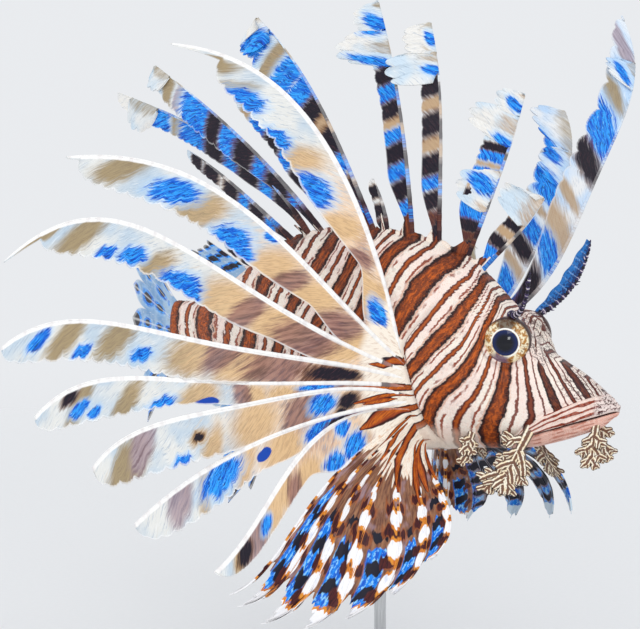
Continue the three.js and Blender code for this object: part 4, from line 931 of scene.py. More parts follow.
# ---------------------------------------------------------------- paint of the fins
# Each mark is (kind, place along the ray 0..1, place across 0 = shaft .. 1 = trailing edge, half length, half width).
# Kinds: b blue, t tan, k black-brown, m mauve, w white, o tan ring with a dark middle, r small round blue spot.
MARKS = [
    [("b", .64, .98, .042, .30), ("b", .765, .82, .045, .32), ("b", .47, .87, .050, .42), ("t", .35, .78, .045, .40), ("m", .263, 1.0, .034, .45), ("t", .18, .87, .039, .8),
     ("b", .115, .5, .034, .3), ("t", .065, .63, .025, .3), ("m", .02, .87, .022, .4), ("t", .82, 1.0, .028, .25), ("t", .885, .8, .03, .4), ("t", .56, .83, .05, .22)],
    [("b", .725, .52, .056, .34), ("b", .542, .82, .048, .40), ("b", .495, .88, .027, .2), ("b", .45, .1, .019, .13), ("t", .868, .32, .048, .22), ("t", .645, .67, .054, .22),
     ("t", .415, .73, .059, .38), ("m", .36, .82, .032, .25), ("t", .278, .68, .059, .49), ("m", .185, .63, .048, .34), ("t", .128, .72, .032, .3), ("k", .032, .6, .012, .3)],
    [("t", .925, .4, .023, .7), ("t", .838, .45, .038, .45), ("b", .772, .82, .018, .18), ("b", .71, .72, .028, .25), ("t", .655, .85, .035, .25), ("b", .585, .87, .046, .38),
     ("b", .555, .93, .025, .2), ("t", .47, .6, .076, .32), ("m", .413, .62, .03, .18), ("t", .333, .52, .071, .38), ("m", .255, .48, .076, .3), ("t", .165, .45, .051, .35), ("k", .055, .33, .014, .3)],
    [("b", .915, .42, .020, .28), ("t", .848, .42, .031, .47), ("b", .81, .78, .018, .2), ("t", .728, .35, .036, .42), ("b", .667, .65, .023, .2), ("t", .537, .38, .066, .32),
     ("m", .46, .12, .041, .23), ("t", .422, .47, .072, .3), ("m", .33, .43, .087, .3), ("m", .23, .8, .05, .5), ("k", .185, .55, .077, .36)],
    [("k", .907, .23, .020, .2), ("t", .883, .48, .025, .31), ("b", .885, .62, .022, .2), ("b", .848, .78, .017, .14), ("t", .765, .75, .030, .48), ("b", .672, .95, .033, .3),
     ("t", .593, .75, .039, .57), ("r", .578, .93, .017, .22), ("m", .485, .53, .025, .14), ("t", .463, .77, .039, .3), ("m", .318, .9, .028, .3), ("t", .385, .9, .055, .37), ("b", .26, .5, .05, .3), ("m", .20, .4, .05, .6), ("m", .13, .6, .03, .6)],
    [("m", .835, .27, .038, .22), ("t", .88, .6, .056, .2), ("o", .672, .52, .028, .2), ("b", .738, .95, .028, .16), ("t", .65, .9, .025, .34), ("t", .922, .63, .031, .15),
     ("t", .51, .58, .081, .25), ("m", .357, .68, .063, .22), ("b", .27, .5, .045, .35), ("k", .185, .53, .030, .35), ("k", .225, .95, .02, .2), ("t", .09, .75, .022, .3)],
    [("b", .32, .8, .075, .6), ("k", .25, .8, .048, .39), ("r", .525, .5, .020, .2), ("b", .68, .43, .075, .40), ("t", .588, .42, .041, .41), ("t", .47, .6, .068, .26),
     ("m", .835, .3, .048, .24), ("t", .75, .5, .027, .3), ("b", .18, .5, .05, .4)],
    [("b", .255, .78, .050, .30), ("b", .25, .2, .030, .22), ("t", .145, .23, .02, .2), ("b", .357, .82, .048, .24), ("t", .487, .9, .08, .4), ("m", .57, .9, .048, .34), ("t", .667, .48, .064, .34), ("t", .588, .4, .056, .34),
     ("m", .80, .65, .064, .45), ("k", .865, .5, .040, .40), ("b", .73, .52, .032, .25), ("t", .90, .5, .03, .4)],
]
LEFT_MARKS = [
    [("m", .93, .55, .03, .35), ("b", .86, .4, .02, .3), ("t", .80, .6, .03, .3), ("b", .70, .55, .06, .7), ("k", .605, .5, .035, .7), ("t", .40, .55, .055, .7), ("b", .33, .5, .04, .6), ("k", .22, .5, .05, .7),
     ("b", .16, .5, .05, .6), ("b", .09, .5, .05, .7), ("k", .05, .5, .05, .6), ("t", .50, .6, .02, .3)],
    [("k", .90, .3, .03, .35), ("b", .84, .7, .03, .4), ("t", .78, .5, .03, .4), ("b", .70, .5, .05, .6), ("t", .62, .6, .02, .3), ("b", .53, .5, .04, .7), ("k", .45, .5, .035, .7), ("t", .37, .5, .03, .6),
     ("b", .29, .5, .05, .7), ("k", .20, .5, .04, .7), ("b", .12, .5, .05, .7), ("k", .05, .5, .05, .6)],
] + [[(k, (s + .013 * i) if s < .9 else s, w, a, b) for k, s, w, a, b in MARKS[i]] for i in range(2, 8)]


def bands(*items):
    return [(k, s, .45, h * 1.12, 1.6) for k, s, h in items]


SPINE_MARKS = [
    bands(("t", .66, .04), ("k", .58, .04), ("t", .48, .05), ("k", .36, .05), ("b", .20, .08), ("b", .08, .06)) + [("t", .80, .7, .05, .25)],
    [("b", .925, .25, .035, .3), ("b", .70, .12, .035, .25), ("t", .83, .75, .05, .5), ("b", .45, .35, .06, .4)] + bands(("k", .66, .02), ("b", .61, .03), ("t", .555, .025), ("b", .50, .03), ("t", .43, .03), ("k", .37, .025), ("b", .28, .06), ("k", .19, .03), ("t", .13, .03), ("k", .06, .05)),
    [("b", .925, .12, .03, .15), ("t", .83, .30, .03, .55), ("b", .79, .1, .02, .2)] + bands(("k", .715, .035), ("t", .64, .030), ("k", .55, .045), ("t", .46, .035), ("k", .37, .04), ("b", .29, .03), ("k", .21, .035), ("m", .13, .03), ("k", .06, .05)),
    [("b", .91, .25, .04, .35), ("t", .82, .30, .035, .40), ("b", .745, .3, .025, .5)] + bands(("k", .69, .03), ("b", .62, .04), ("k", .545, .03), ("t", .485, .03), ("b", .43, .03), ("k", .365, .035), ("b", .29, .04), ("k", .21, .035), ("b", .14, .03), ("m", .06, .06)),
    bands(("k", .78, .10), ("k", .45, .10), ("k", .15, .12)),
    [("b", .93, .5, .05, .6)] + bands(("t", .83, .03), ("b", .74, .045), ("b", .64, .045), ("k", .555, .035), ("t", .49, .04), ("k", .41, .045), ("b", .33, .05), ("t", .26, .03), ("k", .19, .045), ("b", .12, .04), ("m", .05, .05)),
    bands(("t", .88, .04), ("b", .78, .05), ("k", .66, .05), ("b", .55, .05), ("k", .42, .05), ("b", .30, .05), ("k", .18, .05), ("m", .07, .05)),
    [("t", .90, .5, .03, .5), ("m", .84, .6, .02, .3)] + bands(("b", .74, .07), ("k", .645, .03), ("b", .56, .05), ("k", .47, .045), ("b", .38, .04), ("k", .28, .05), ("b", .19, .04), ("k", .10, .05)),
    [("t", .88, .5, .03, .35)] + bands(("b", .78, .04), ("t", .70, .03), ("b", .61, .06), ("k", .51, .04), ("b", .43, .04), ("k", .34, .045), ("b", .25, .04), ("k", .15, .05), ("m", .06, .05)),
    bands(("k", .90, .04), ("k", .76, .06), ("k", .58, .06), ("b", .46, .05), ("k", .34, .06), ("b", .22, .05), ("k", .1, .06)),
    bands(("k", .82, .06), ("k", .60, .07), ("b", .46, .05), ("k", .32, .07), ("k", .1, .06)),
    bands(("k", .75, .08), ("k", .45, .09), ("k", .15, .09)),
    bands(("k", .70, .10), ("k", .30, .12)),
]
KIND = {"b": 0, "t": 1, "k": 2, "m": 3}


def paint(s, w, items, lean=0.0):
    F = np.zeros(s.shape + (4,)); G = np.zeros(s.shape + (4,))

    def put(c, g, target=None):
        t = F if target is None else target
        t[..., c] = np.maximum(t[..., c], g)
    for kind, cs, cw, rs, rw in items:
        if kind in "tm" and rw < 1:
            # the tan and mauve shades are bands across the fin, not spots
            rw = max(1.7 * rw, 0.66)
        d = np.sqrt(((s - cs - lean * (w - cw)) / rs) ** 2 + ((w - cw) / rw) ** 2)
        g = np.clip(1 - 0.5 * d, 0, 1)
        if kind in KIND:
            put(KIND[kind], g)
        elif kind == "r":
            put(1, np.clip(1 - 0.5 * d, 0, 1), G)
        elif kind == "o":
            put(1, np.clip(1 - 0.5 * d, 0, 1))
            put(2, np.clip(1 - 0.5 * d * 2.0, 0, 1))
        elif kind == "w":
            put(2, g, G)
    return F, G


def fin_attrs(s, w, length, width, items, seed, lean=0.06, slant=38, first=None, base=(12.0, 14.0)):
    """marks, strokes and places for a shader; first = number of the ray along the root of a pectoral fin"""
    s, w = np.broadcast_arrays(np.asarray(s, float), np.asarray(w, float))
    F, G = paint(s, w, items, lean)
    x, y = s * length, w * width
    c, k = math.cos(slant * RAD), math.sin(slant * RAD)
    st = np.stack([x * c + y * k, x * k - y * c, np.full(s.shape, seed)], -1)
    if first is not None:
        G[..., 0] = hub_field(first + w, x)
    G[..., 3] = 1 - sm((x - base[0]) / base[1])
    return dict(fa=F, fb=G, st=st, sw=np.stack([x, w + 0 * x, y], -1))


def hub_colour(m, g, wob, fine):
    g = m.add(g, m.mul(wob, 0.22))
    inner = m.mix(m.step(fine, -0.10, 0.10), (0.62, 0.150, 0.010), (0.30, 0.050, 0.008))
    inner = m.mix(m.step(m.add(g, m.mul(fine, 0.5)), 0.62, 0.84), (0.26, 0.034, 0.008), inner)
    return m.step(g, 0.42, 0.50), m.mix(m.step(g, 0.58, 0.70), (0.045, 0.008, 0.006), inner)


def fin_material(name, ground_a, ground_b, fringe=0.5, base=(0.93, 0.84, 0.72), dark_shaft=False, peach=None, brown=True, lead=0.0, tan=(0.74, 0.49, 0.25), olive=(0.36, 0.26, 0.12), far=(70.0, 125.0)):
    m = Mat(name)
    fa = m.rgb(m.attr("fa", "Color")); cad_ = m.attr("fa", "Alpha")
    blue, tanf, black, mauve = fa[0], fa[1], fa[2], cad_
    fb = m.rgb(m.attr("fb", "Color")); root = m.attr("fb", "Alpha")
    hot, spot, white = fb[0], fb[1], fb[2]
    st = m.attr("st", "Vector")
    x, w, y = m.split(m.attr("sw", "Vector"))
    n1 = m.noise(m.scale(st, (0.10, 0.95, 1.0)), 1.0, 3.0, 0.6, centred=True)
    n2 = m.noise(m.scale(st, (0.22, 2.8, 1.0)), 1.0, 2.0, 0.6, centred=True)
    low = m.noise(m.scale(st, (0.06, 0.06, 1.0)), 1.0, 2.0, 0.5)
    brush = m.add(m.mul(n1, 0.62), m.mul(n2, 0.36))
    soft = m.add(m.mul(n1, 0.42), m.mul(n2, 0.22))
    col = m.mix(m.step(low, 0.38, 0.62), ground_a, ground_b)
    if peach:
        # warmer towards the body
        col = m.mix(m.step(m.add(x, m.mul(n1, 60.0)), 92.0, 48.0), col, peach)
        # brown and mauve streaks between there and the root
        shade = m.mul(m.step(m.add(x, m.mul(n1, 45.0)), 80.0, 42.0), m.step(m.add(low, m.mul(n1, 0.7)), 0.42, 0.66))
        col = m.mix(m.mul(shade, 0.62), col, m.mix(m.step(n2, -0.05, 0.12), (0.46, 0.25, 0.19), (0.22, 0.095, 0.10)))
    # faint strokes in the pale membrane
    col = m.mix(m.mul(m.step(n2, 0.06, 0.17), 0.62), col, (0.34, 0.42, 0.53))
    col = m.mix(m.mul(m.step(n1, -0.11, -0.24), 0.38), col, (0.62, 0.50, 0.36))
    col = m.mix(m.mul(m.step(n2, -0.10, -0.18), 0.50), col, (0.90, 0.91, 0.91))
    tw = m.step(m.add(tanf, soft), 0.32, 0.74)
    tone = m.step(m.add(x, m.mul(n1, 40.0)), far[0], far[1])
    tcol = m.mix(tone, m.mix(m.step(n2, -0.05, 0.12), tan, m.mix(0.5, tan, (0.45, 0.26, 0.13))), m.mix(m.step(n2, -0.05, 0.12), olive, m.mix(0.45, olive, (0.20, 0.13, 0.07))))
    col = m.mix(m.mul(tw, 0.92), col, tcol)
    mw = m.step(m.add(mauve, soft), 0.32, 0.66)
    col = m.mix(m.mul(mw, 0.85), col, m.mix(tone, m.mix(m.step(n1, -0.15, 0.2), (0.34, 0.16, 0.13), (0.09, 0.030, 0.042)), m.mix(m.step(n1, -0.15, 0.2), (0.44, 0.35, 0.40), (0.20, 0.13, 0.17))))
    halo = m.step(m.add(blue, m.mul(brush, 0.7)), 0.18, 0.44)
    col = m.mix(m.mul(halo, 0.45), col, (0.40, 0.64, 0.92))
    bw = m.step(m.add(blue, m.mul(brush, 1.0 if brown else 0.45)), 0.38, 0.60)
    bcol = m.mix(m.step(m.add(n2, m.mul(n1, 0.8)), -0.16, 0.16), (0.03, 0.38, 0.98), (0.0, 0.085, 0.58))
    bcol = m.mix(m.step(m.noise(m.scale(st, (0.4, 2.0, 1.0)), 1.0, 2.0, 0.7), 0.62, 0.70), bcol, (0.22, 0.58, 0.97))
    bcol = m.mix(m.mul(m.step(m.noise(m.scale(st, (0.3, 1.4, 1.0)), 1.0, 2.0, 0.7), 0.44, 0.36), 0.75), bcol, (0.003, 0.022, 0.18))
    col = m.mix(bw, col, bcol)
    rw = m.step(m.add(spot, m.mul(brush, 0.25)), 0.42, 0.52)
    col = m.mix(rw, col, (0.006, 0.06, 0.40))
    kw = m.step(m.add(black, m.mul(brush, 0.85 if brown else 0.20)), 0.42, 0.64 if brown else 0.54)
    # dark bars have a warm brown fringe
    kf = m.step(m.add(black, m.mul(brush, 0.85)), 0.24, 0.48)
    col = m.mix(m.mul(kf, 0.70 if brown else 0.0), col, (0.15, 0.058, 0.022))
    col = m.mix(kw, col, m.mix(m.step(n2, 0.05, 0.18), (0.010, 0.007, 0.016), (0.05, 0.020, 0.030)))
    ww = m.step(m.add(white, m.mul(brush, 0.30)), 0.42, 0.52)
    col = m.mix(ww, col, (0.92, 0.92, 0.92))
    # the root: one colour, with the stripes that come off the body
    shaft = m.attr("shaft")
    col = m.mix(m.mul(m.step(m.add(root, m.mul(soft, 0.35)), 0.35, 0.80), m.inv(m.big(bw, kw))), col, m.mix(m.step(n2, 0.02, 0.16), base, m.mix(0.35, base, (0.42, 0.16, 0.05))))
    on, hcol = hub_colour(m, hot, brush, n2)
    col = m.mix(on, col, hcol)
    # pale hem along the trailing edge, and the shaft
    hem = m.mul(m.mul(m.step(w, 0.935, 0.985), fringe), m.inv(m.step(root, 0.1, 0.6)))
    col = m.mix(hem, col, (0.92, 0.92, 0.92))
    scol = m.mix(m.step(m.noise(m.scale(m.attr("sw", "Vector"), (0.25, 0.0, 0.0)), 1.0, 2.0), 0.46, 0.62), (0.96, 0.95, 0.93), (0.86, 0.83, 0.82))
    if lead:
        col = m.mix(m.mul(m.step(y, lead, lead * 0.6), m.mul(m.step(x, 18.0, 40.0), m.inv(m.mul(on, 0.8)))), col, scol)
    if dark_shaft:
        scol = m.mix(m.step(root, 0.05, 0.7), scol, (0.10, 0.028, 0.022))
        scol = m.mix(m.mul(kw, 0.28), scol, (0.05, 0.02, 0.02))
    col = m.mix(m.mul(m.step(shaft, 0.35, 0.60), m.sub(0.26 if dark_shaft else 0.92, m.mul(on, 0.22 if dark_shaft else 0.75))), col, scol)
    h = m.add(m.mul(n2, 0.6), m.add(m.mul(n1, 0.5), m.mul(m.math("SINE", m.mul(x, 6.2)), 0.05)))
    n = m.bump(h, 0.45, 0.0003)
    return m.finish(col, m.add(0.34, m.mul(low, 0.18)), n, spec=0.22)


PALE = fin_material("pectoral_blade", (0.76, 0.76, 0.73), (0.52, 0.62, 0.71), fringe=0.60, peach=(0.84, 0.61, 0.42), lead=1.7)
SPINEM = fin_material("spine_blade", (0.81, 0.79, 0.75), (0.58, 0.70, 0.80), fringe=0.30, base=(0.085, 0.024, 0.022), dark_shaft=True, tan=(0.50, 0.32, 0.16), far=(60.0, 100.0))
FARM = fin_material("far_blade", (0.84, 0.85, 0.85), (0.50, 0.68, 0.90), fringe=0.40, base=(0.03, 0.05, 0.20), dark_shaft=True, tan=(0.50, 0.36, 0.22))
WEBM = fin_material("web_fin", (0.36, 0.52, 0.70), (0.15, 0.33, 0.60), fringe=0.35, base=(0.30, 0.34, 0.44), brown=False)
PELM = fin_material("pelvic_fin", (0.06, 0.26, 0.72), (0.20, 0.42, 0.84), fringe=0.45, base=(0.55, 0.42, 0.36), tan=(0.16, 0.07, 0.035), olive=(0.16, 0.07, 0.035))


def build_petal(b, r, side, petal, items, seed):
    """A separate lobe of membrane on one stretch of a shaft, with a scalloped free edge."""
    s0, s1, L, droop, spread = petal
    d, m, n = axes_of(r)
    na, nb = 64, 26
    A, B = np.meshgrid(np.linspace(0, 1, na), sm(np.linspace(0, 1, nb)) * 0.3 + np.linspace(0, 1, nb) * 0.7, indexing="ij")
    reach = (1 - np.abs(2 * A - 1) ** 3.2) ** 0.5
    notch = 1 - 0.20 * (1 - np.abs(np.sin(np.pi * (3.4 * A + seed))) ** 0.6) * sm(reach / 0.5)
    prof = (0.10 + 0.90 * reach) * notch
    run = (s1 - s0) * r["len"]
    C = ray_point(r, side, s0 + (s1 - s0) * A)
    P = C + m * (L * prof * B)[..., None] + d * ((A - 0.5) * (spread - 1.0) * run * B * (0.4 + 0.6 * reach) - droop * L * B ** 2)[..., None]
    P = P + n * (1.0 * np.sin(2.2 * B + seed * 2) * B + 0.5 * np.sin(A * 9 + seed) * B ** 1.5)[..., None]
    # the lobe overlaps the blade a little, on its outer face
    outer = 1.0 if float(np.dot(np.asarray(n).reshape(-1, 3).mean(axis=0), (0.436, -0.894, 0.104))) >= 0 else -1.0
    P = P + n * (outer * 0.95 * sm(B / 0.08 + 0.35))[..., None]
    # grooves fan out from the shaft
    T = (0.46 - 0.22 * B) * (1 + 0.16 * np.sin(A * run * 2 * np.pi / 1.5)) + 0.03
    v, q = thick(P, T)
    S = s0 + (s1 - s0) * (0.5 + (A - 0.5) * (1 + 0.3 * B))
    own = [it for it in items if it[4] < 1 and it[0] in "b"]
    at = fin_attrs(S, B * prof, r["len"], L, own, seed, slant=62, base=(5.0, 7.0))
    # cream with a warm shade towards the shaft
    at["fa"][..., 1] = np.maximum(at["fa"][..., 1], 0.56 * (1 - sm((B - 0.15) / 0.75)) * (1 - np.clip(at["fa"][..., 0] / 0.4, 0, 1)))
    b.add(v, q, shaft=twice(0 * S), **{k2: twice(x) for k2, x in at.items()})


def build_blade(name, r, side, nxt, items, seed, mat, node, first=None, base=(12.0, 14.0)):
    end = 0.999
    ns = int(r["len"] / 0.62) + 12
    nw = 22
    s = np.concatenate([[-2.6 / r["len"], -1.2 / r["len"]], np.linspace(0, end, ns)])
    w = sm(np.linspace(0, 1, nw)) * 0.35 + np.linspace(0, 1, nw) * 0.65
    S, W = np.meshgrid(s, w, indexing="ij")
    P = blade_point(r, side, S, W, nxt, seed)
    width = np.maximum(blade_width(r, S, seed, False), 2.0)
    if nxt is not None:
        gap = np.linalg.norm(ray_point(nxt, side, s) - ray_point(r, side, s), axis=1)[:, None]
        k = sm((S - r["web"]) / 0.14)
        width = np.maximum(gap, 2.0) * (1 - k) + width * k
    b = Build()
    # furrows between the strokes give the membrane its grain
    c, kk = math.cos(38 * RAD), math.sin(38 * RAD)
    q = S * r["len"] * kk - W * width * c
    T = (0.40 - 0.22 * W) * (1 + 0.20 * np.sin(q * 2 * np.pi / 1.9)) + 0.03
    if first is not None:
        # fleshy where it leaves the body
        T = T + 1.1 * np.exp(-np.maximum(S * r["len"], 0) / 7.0) * (0.35 + 0.65 * np.sin(np.pi * W) ** 0.5)
    v, quads = thick(P, T)
    at = fin_attrs(S, W, r["len"], width, items, seed, lean=0.06 if first is not None else -0.02, first=first, base=base)
    at = {k2: twice(x) for k2, x in at.items()}
    b.add(v, quads, shaft=twice(0 * S), **at)
    for i, petal in enumerate(r.get("petals", ())):
        build_petal(b, r, side, petal, items, seed + 0.37 * i)
    # stiff shaft along the leading edge
    s2 = np.concatenate([[-2.8 / r["len"]], np.linspace(0, 0.998, 70)])
    C = ray_point(r, side, s2)
    rad = np.interp(np.clip(s2, 0, 1), [0, 0.25, 0.7, 1], [1.15, 0.95, 0.62, 0.20])
    rad = rad * (1 + 0.05 * np.sin(s2 * r["len"] / 0.9))
    v, quads, tris = tube(C, rad, 8)
    at = fin_attrs(s2, 0 * s2, r["len"], 1.0, items, seed, first=first, base=base)
    b.add(v, quads, tris, shaft=tube_attr(np.ones((len(s2), 1))), **{k2: tube_attr(x) for k2, x in at.items()})
    return b.done(name, mat, [node])


def build_pectorals():
    for i, r in enumerate(RIGHT):
        nxt = RIGHT[i + 1] if i + 1 < len(RIGHT) else RIGHT_CLAWS[0]
        build_blade(f"blade_right_{i + 1}", r, -1, nxt, MARKS[i], i * 1.7 + 0.3, PALE, f"pectoral_right_ray_{i + 1}", first=i)
    for i, r in enumerate(LEFT):
        nxt = LEFT[i + 1] if i + 1 < len(LEFT) else LEFT_CLAWS[0]
        build_blade(f"blade_left_{i + 1}", r, 1, nxt, LEFT_MARKS[i], i * 2.1 + 9.0, FARM if i < 2 else PALE, f"pectoral_left_ray_{i + 1}", first=i)


def build_spines():
    for i, r in enumerate(SPINES):
        r.setdefault("roll", -90); r.setdefault("web", 0.05); r.setdefault("edge", 0.22 if i in (5,) else 0.12); r.setdefault("lobe", 5.0)
        build_blade(f"spine_{i + 1:02d}", r, 0, None, SPINE_MARKS[i], i * 1.3 + 31, SPINEM, f"dorsal_spine_{i + 1:02d}", base=(min(9.0, 0.2 * r["len"]), min(14.0, 0.25 * r["len"])))


def build_back_web():
    """The low membrane that ties the roots of the spines together along the back."""
    b = Build()
    us = [r["u"] for r in SPINES] + [185.0]
    for i, r in enumerate(SPINES):
        d, m, n = axes_of(r)
        hi = min(8.5, 0.30 * r["len"])
        A, B = np.meshgrid(np.linspace(0.0, 1, 30), np.linspace(0, 1, 12), indexing="ij")
        u = us[i] + (us[i + 1] - us[i]) * A
        up = frame_at(u)[3]
        D = d * (1 - sm(A / 0.75))[..., None] + up * sm(A / 0.75)[..., None]
        D /= np.linalg.norm(D, axis=-1, keepdims=True)
        h = 2.6 + hi * (1 - sm(A / 0.55)) + 0.8 * sm((A - 0.55) / 0.4) + 0.2 * np.sin(A * 17 + i)
        P = in_frame(u, 0 * u, PROFILE["top"](u) - 1.6) + D * (h * B)[..., None]
        P = P + frame_at(u)[2] * (0.35 * np.sin(A * 6 + i) * B)[..., None]
        T = 0.95 - 0.55 * B
        v, q = thick(P, T)
        at = markings(u, np.full(u.shape, 0.5 * np.pi) + 0.02 * B)
        b.add(v, q, **{k2: twice(x) for k2, x in at.items()})
    b.done("back_web", SKIN)


# ---------------------------------------------------------------- the webbed lower part of the pectoral fins
def claw_material(name):
    m = Mat(name)
    kf, s, on = m.split(m.attr("cl", "Vector"))      # distance from the ray in spacings, place along, ray number
    st = m.attr("st", "Vector")
    fb = m.rgb(m.attr("fb", "Color")); root = m.attr("fb", "Alpha")
    white, black, bluew = fb[0], fb[1], fb[2]
    fc = m.rgb(m.attr("fc", "Color"))
    hot, halo, blot = fc[0], fc[1], fc[2]
    n1 = m.noise(m.scale(st, (0.12, 1.1, 1.0)), 1.0, 3.0, 0.6, centred=True)
    n2 = m.noise(m.scale(st, (0.25, 3.0, 1.0)), 1.0, 2.0, 0.6, centred=True)
    low = m.noise(m.scale(st, (0.10, 0.25, 1.0)), 1.0, 2.0, 0.5, centred=True)
    brush = m.add(m.mul(n1, 0.5), m.mul(n2, 0.32))
    edge = m.mul(brush, 0.30)
    # between the patches the rays and webs are brown with a mauve bloom
    col = m.mix(m.step(n1, -0.2, 0.2), (0.36, 0.17, 0.085), (0.12, 0.042, 0.030))
    col = m.mix(m.mul(m.step(low, 0.02, 0.2), 0.55), col, (0.40, 0.29, 0.36))
    col = m.mix(m.mul(m.step(n2, 0.08, 0.20), 0.55), col, (0.045, 0.012, 0.012))
    bw = m.step(m.add(bluew, m.mul(brush, 0.6)), 0.45, 0.58)
    bcol = m.mix(m.step(m.add(n1, m.mul(n2, 0.6)), -0.12, 0.12), (0.0, 0.24, 0.86), (0.003, 0.09, 0.56))
    bcol = m.mix(m.step(m.noise(m.scale(st, (0.35, 1.2, 1.0)), 1.0, 2.0, 0.6), 0.50, 0.62), bcol, (0.26, 0.60, 0.95))
    bcol = m.mix(m.mul(m.attr("fc", "Alpha"), m.mul(m.step(m.add(kf, m.mul(n2, 0.25)), 0.06, 0.24), 0.80)), bcol, (0.42, 0.66, 0.90))
    col = m.mix(bw, col, bcol)
    # on the lobes under the head the dark bands have a brown fringe
    col = m.mix(m.mul(m.step(m.add(blot, m.mul(brush, 0.8)), 0.18, 0.40), m.mul(m.attr("fc", "Alpha"), 0.75)), col, (0.26, 0.12, 0.06))
    kb = m.step(m.add(blot, m.mul(brush, 0.6)), 0.44, 0.56)
    col = m.mix(kb, col, (0.006, 0.006, 0.018))
    kw = m.step(m.add(black, edge), 0.46, 0.54)
    kh = m.step(m.add(black, edge), 0.34, 0.46)
    col = m.mix(m.mul(kh, m.mul(m.inv(bw), 0.7)), col, (0.34, 0.085, 0.018))
    col = m.mix(kw, col, m.mix(m.step(n2, -0.1, 0.15), (0.085, 0.014, 0.014), (0.028, 0.006, 0.010)))
    hh = m.step(m.add(halo, edge), 0.44, 0.52)
    col = m.mix(hh, col, m.mix(m.step(n1, -0.1, 0.15), (0.78, 0.30, 0.035), (0.58, 0.16, 0.02)))
    ww = m.step(m.add(white, edge), 0.46, 0.54)
    col = m.mix(ww, col, m.mix(m.attr("fc", "Alpha"), m.mix(m.step(n1, 0.02, 0.25), (0.93, 0.92, 0.93), (0.66, 0.70, 0.84)), (0.68, 0.82, 0.93)))
    # the root: cream, with the stripes that come off the body
    base = m.mix(m.step(n2, 0.02, 0.16), (0.95, 0.86, 0.74), (0.80, 0.50, 0.30))
    base = m.mix(m.mul(m.step(n2, -0.10, -0.17), 0.75), base, (0.42, 0.14, 0.04))
    col = m.mix(m.step(m.add(root, m.mul(brush, 0.5)), 0.40, 0.62), col, base)
    son, hcol = hub_colour(m, hot, brush, n2)
    col = m.mix(son, col, hcol)
    n = m.bump(m.add(m.mul(n1, 0.6), m.mul(n2, 0.5)), 0.5, 0.0003)
    return m.finish(col, 0.42, n, spec=0.22)


CLAW = claw_material("claw_fan")


def fan_point(rays, side, k, s):
    i = np.clip(np.floor(k).astype(int), 0, len(rays) - 2)
    f = k - i
    P = np.zeros(k.shape + (3,))
    for j in range(len(rays) - 1):
        sel = i == j
        if sel.any():
            P[sel] = ray_point(rays[j], side, s[sel]) * (1 - f[sel])[..., None] + ray_point(rays[j + 1], side, s[sel]) * f[sel][..., None]
    return P


def block(dx, dy):
    """1 inside to 0 outside a patch with straight sides and round corners; 0.5 on its edge"""
    return np.clip(1 - 0.5 * (np.abs(dx) ** 4 + np.abs(dy) ** 4) ** 0.25, 0, 1)


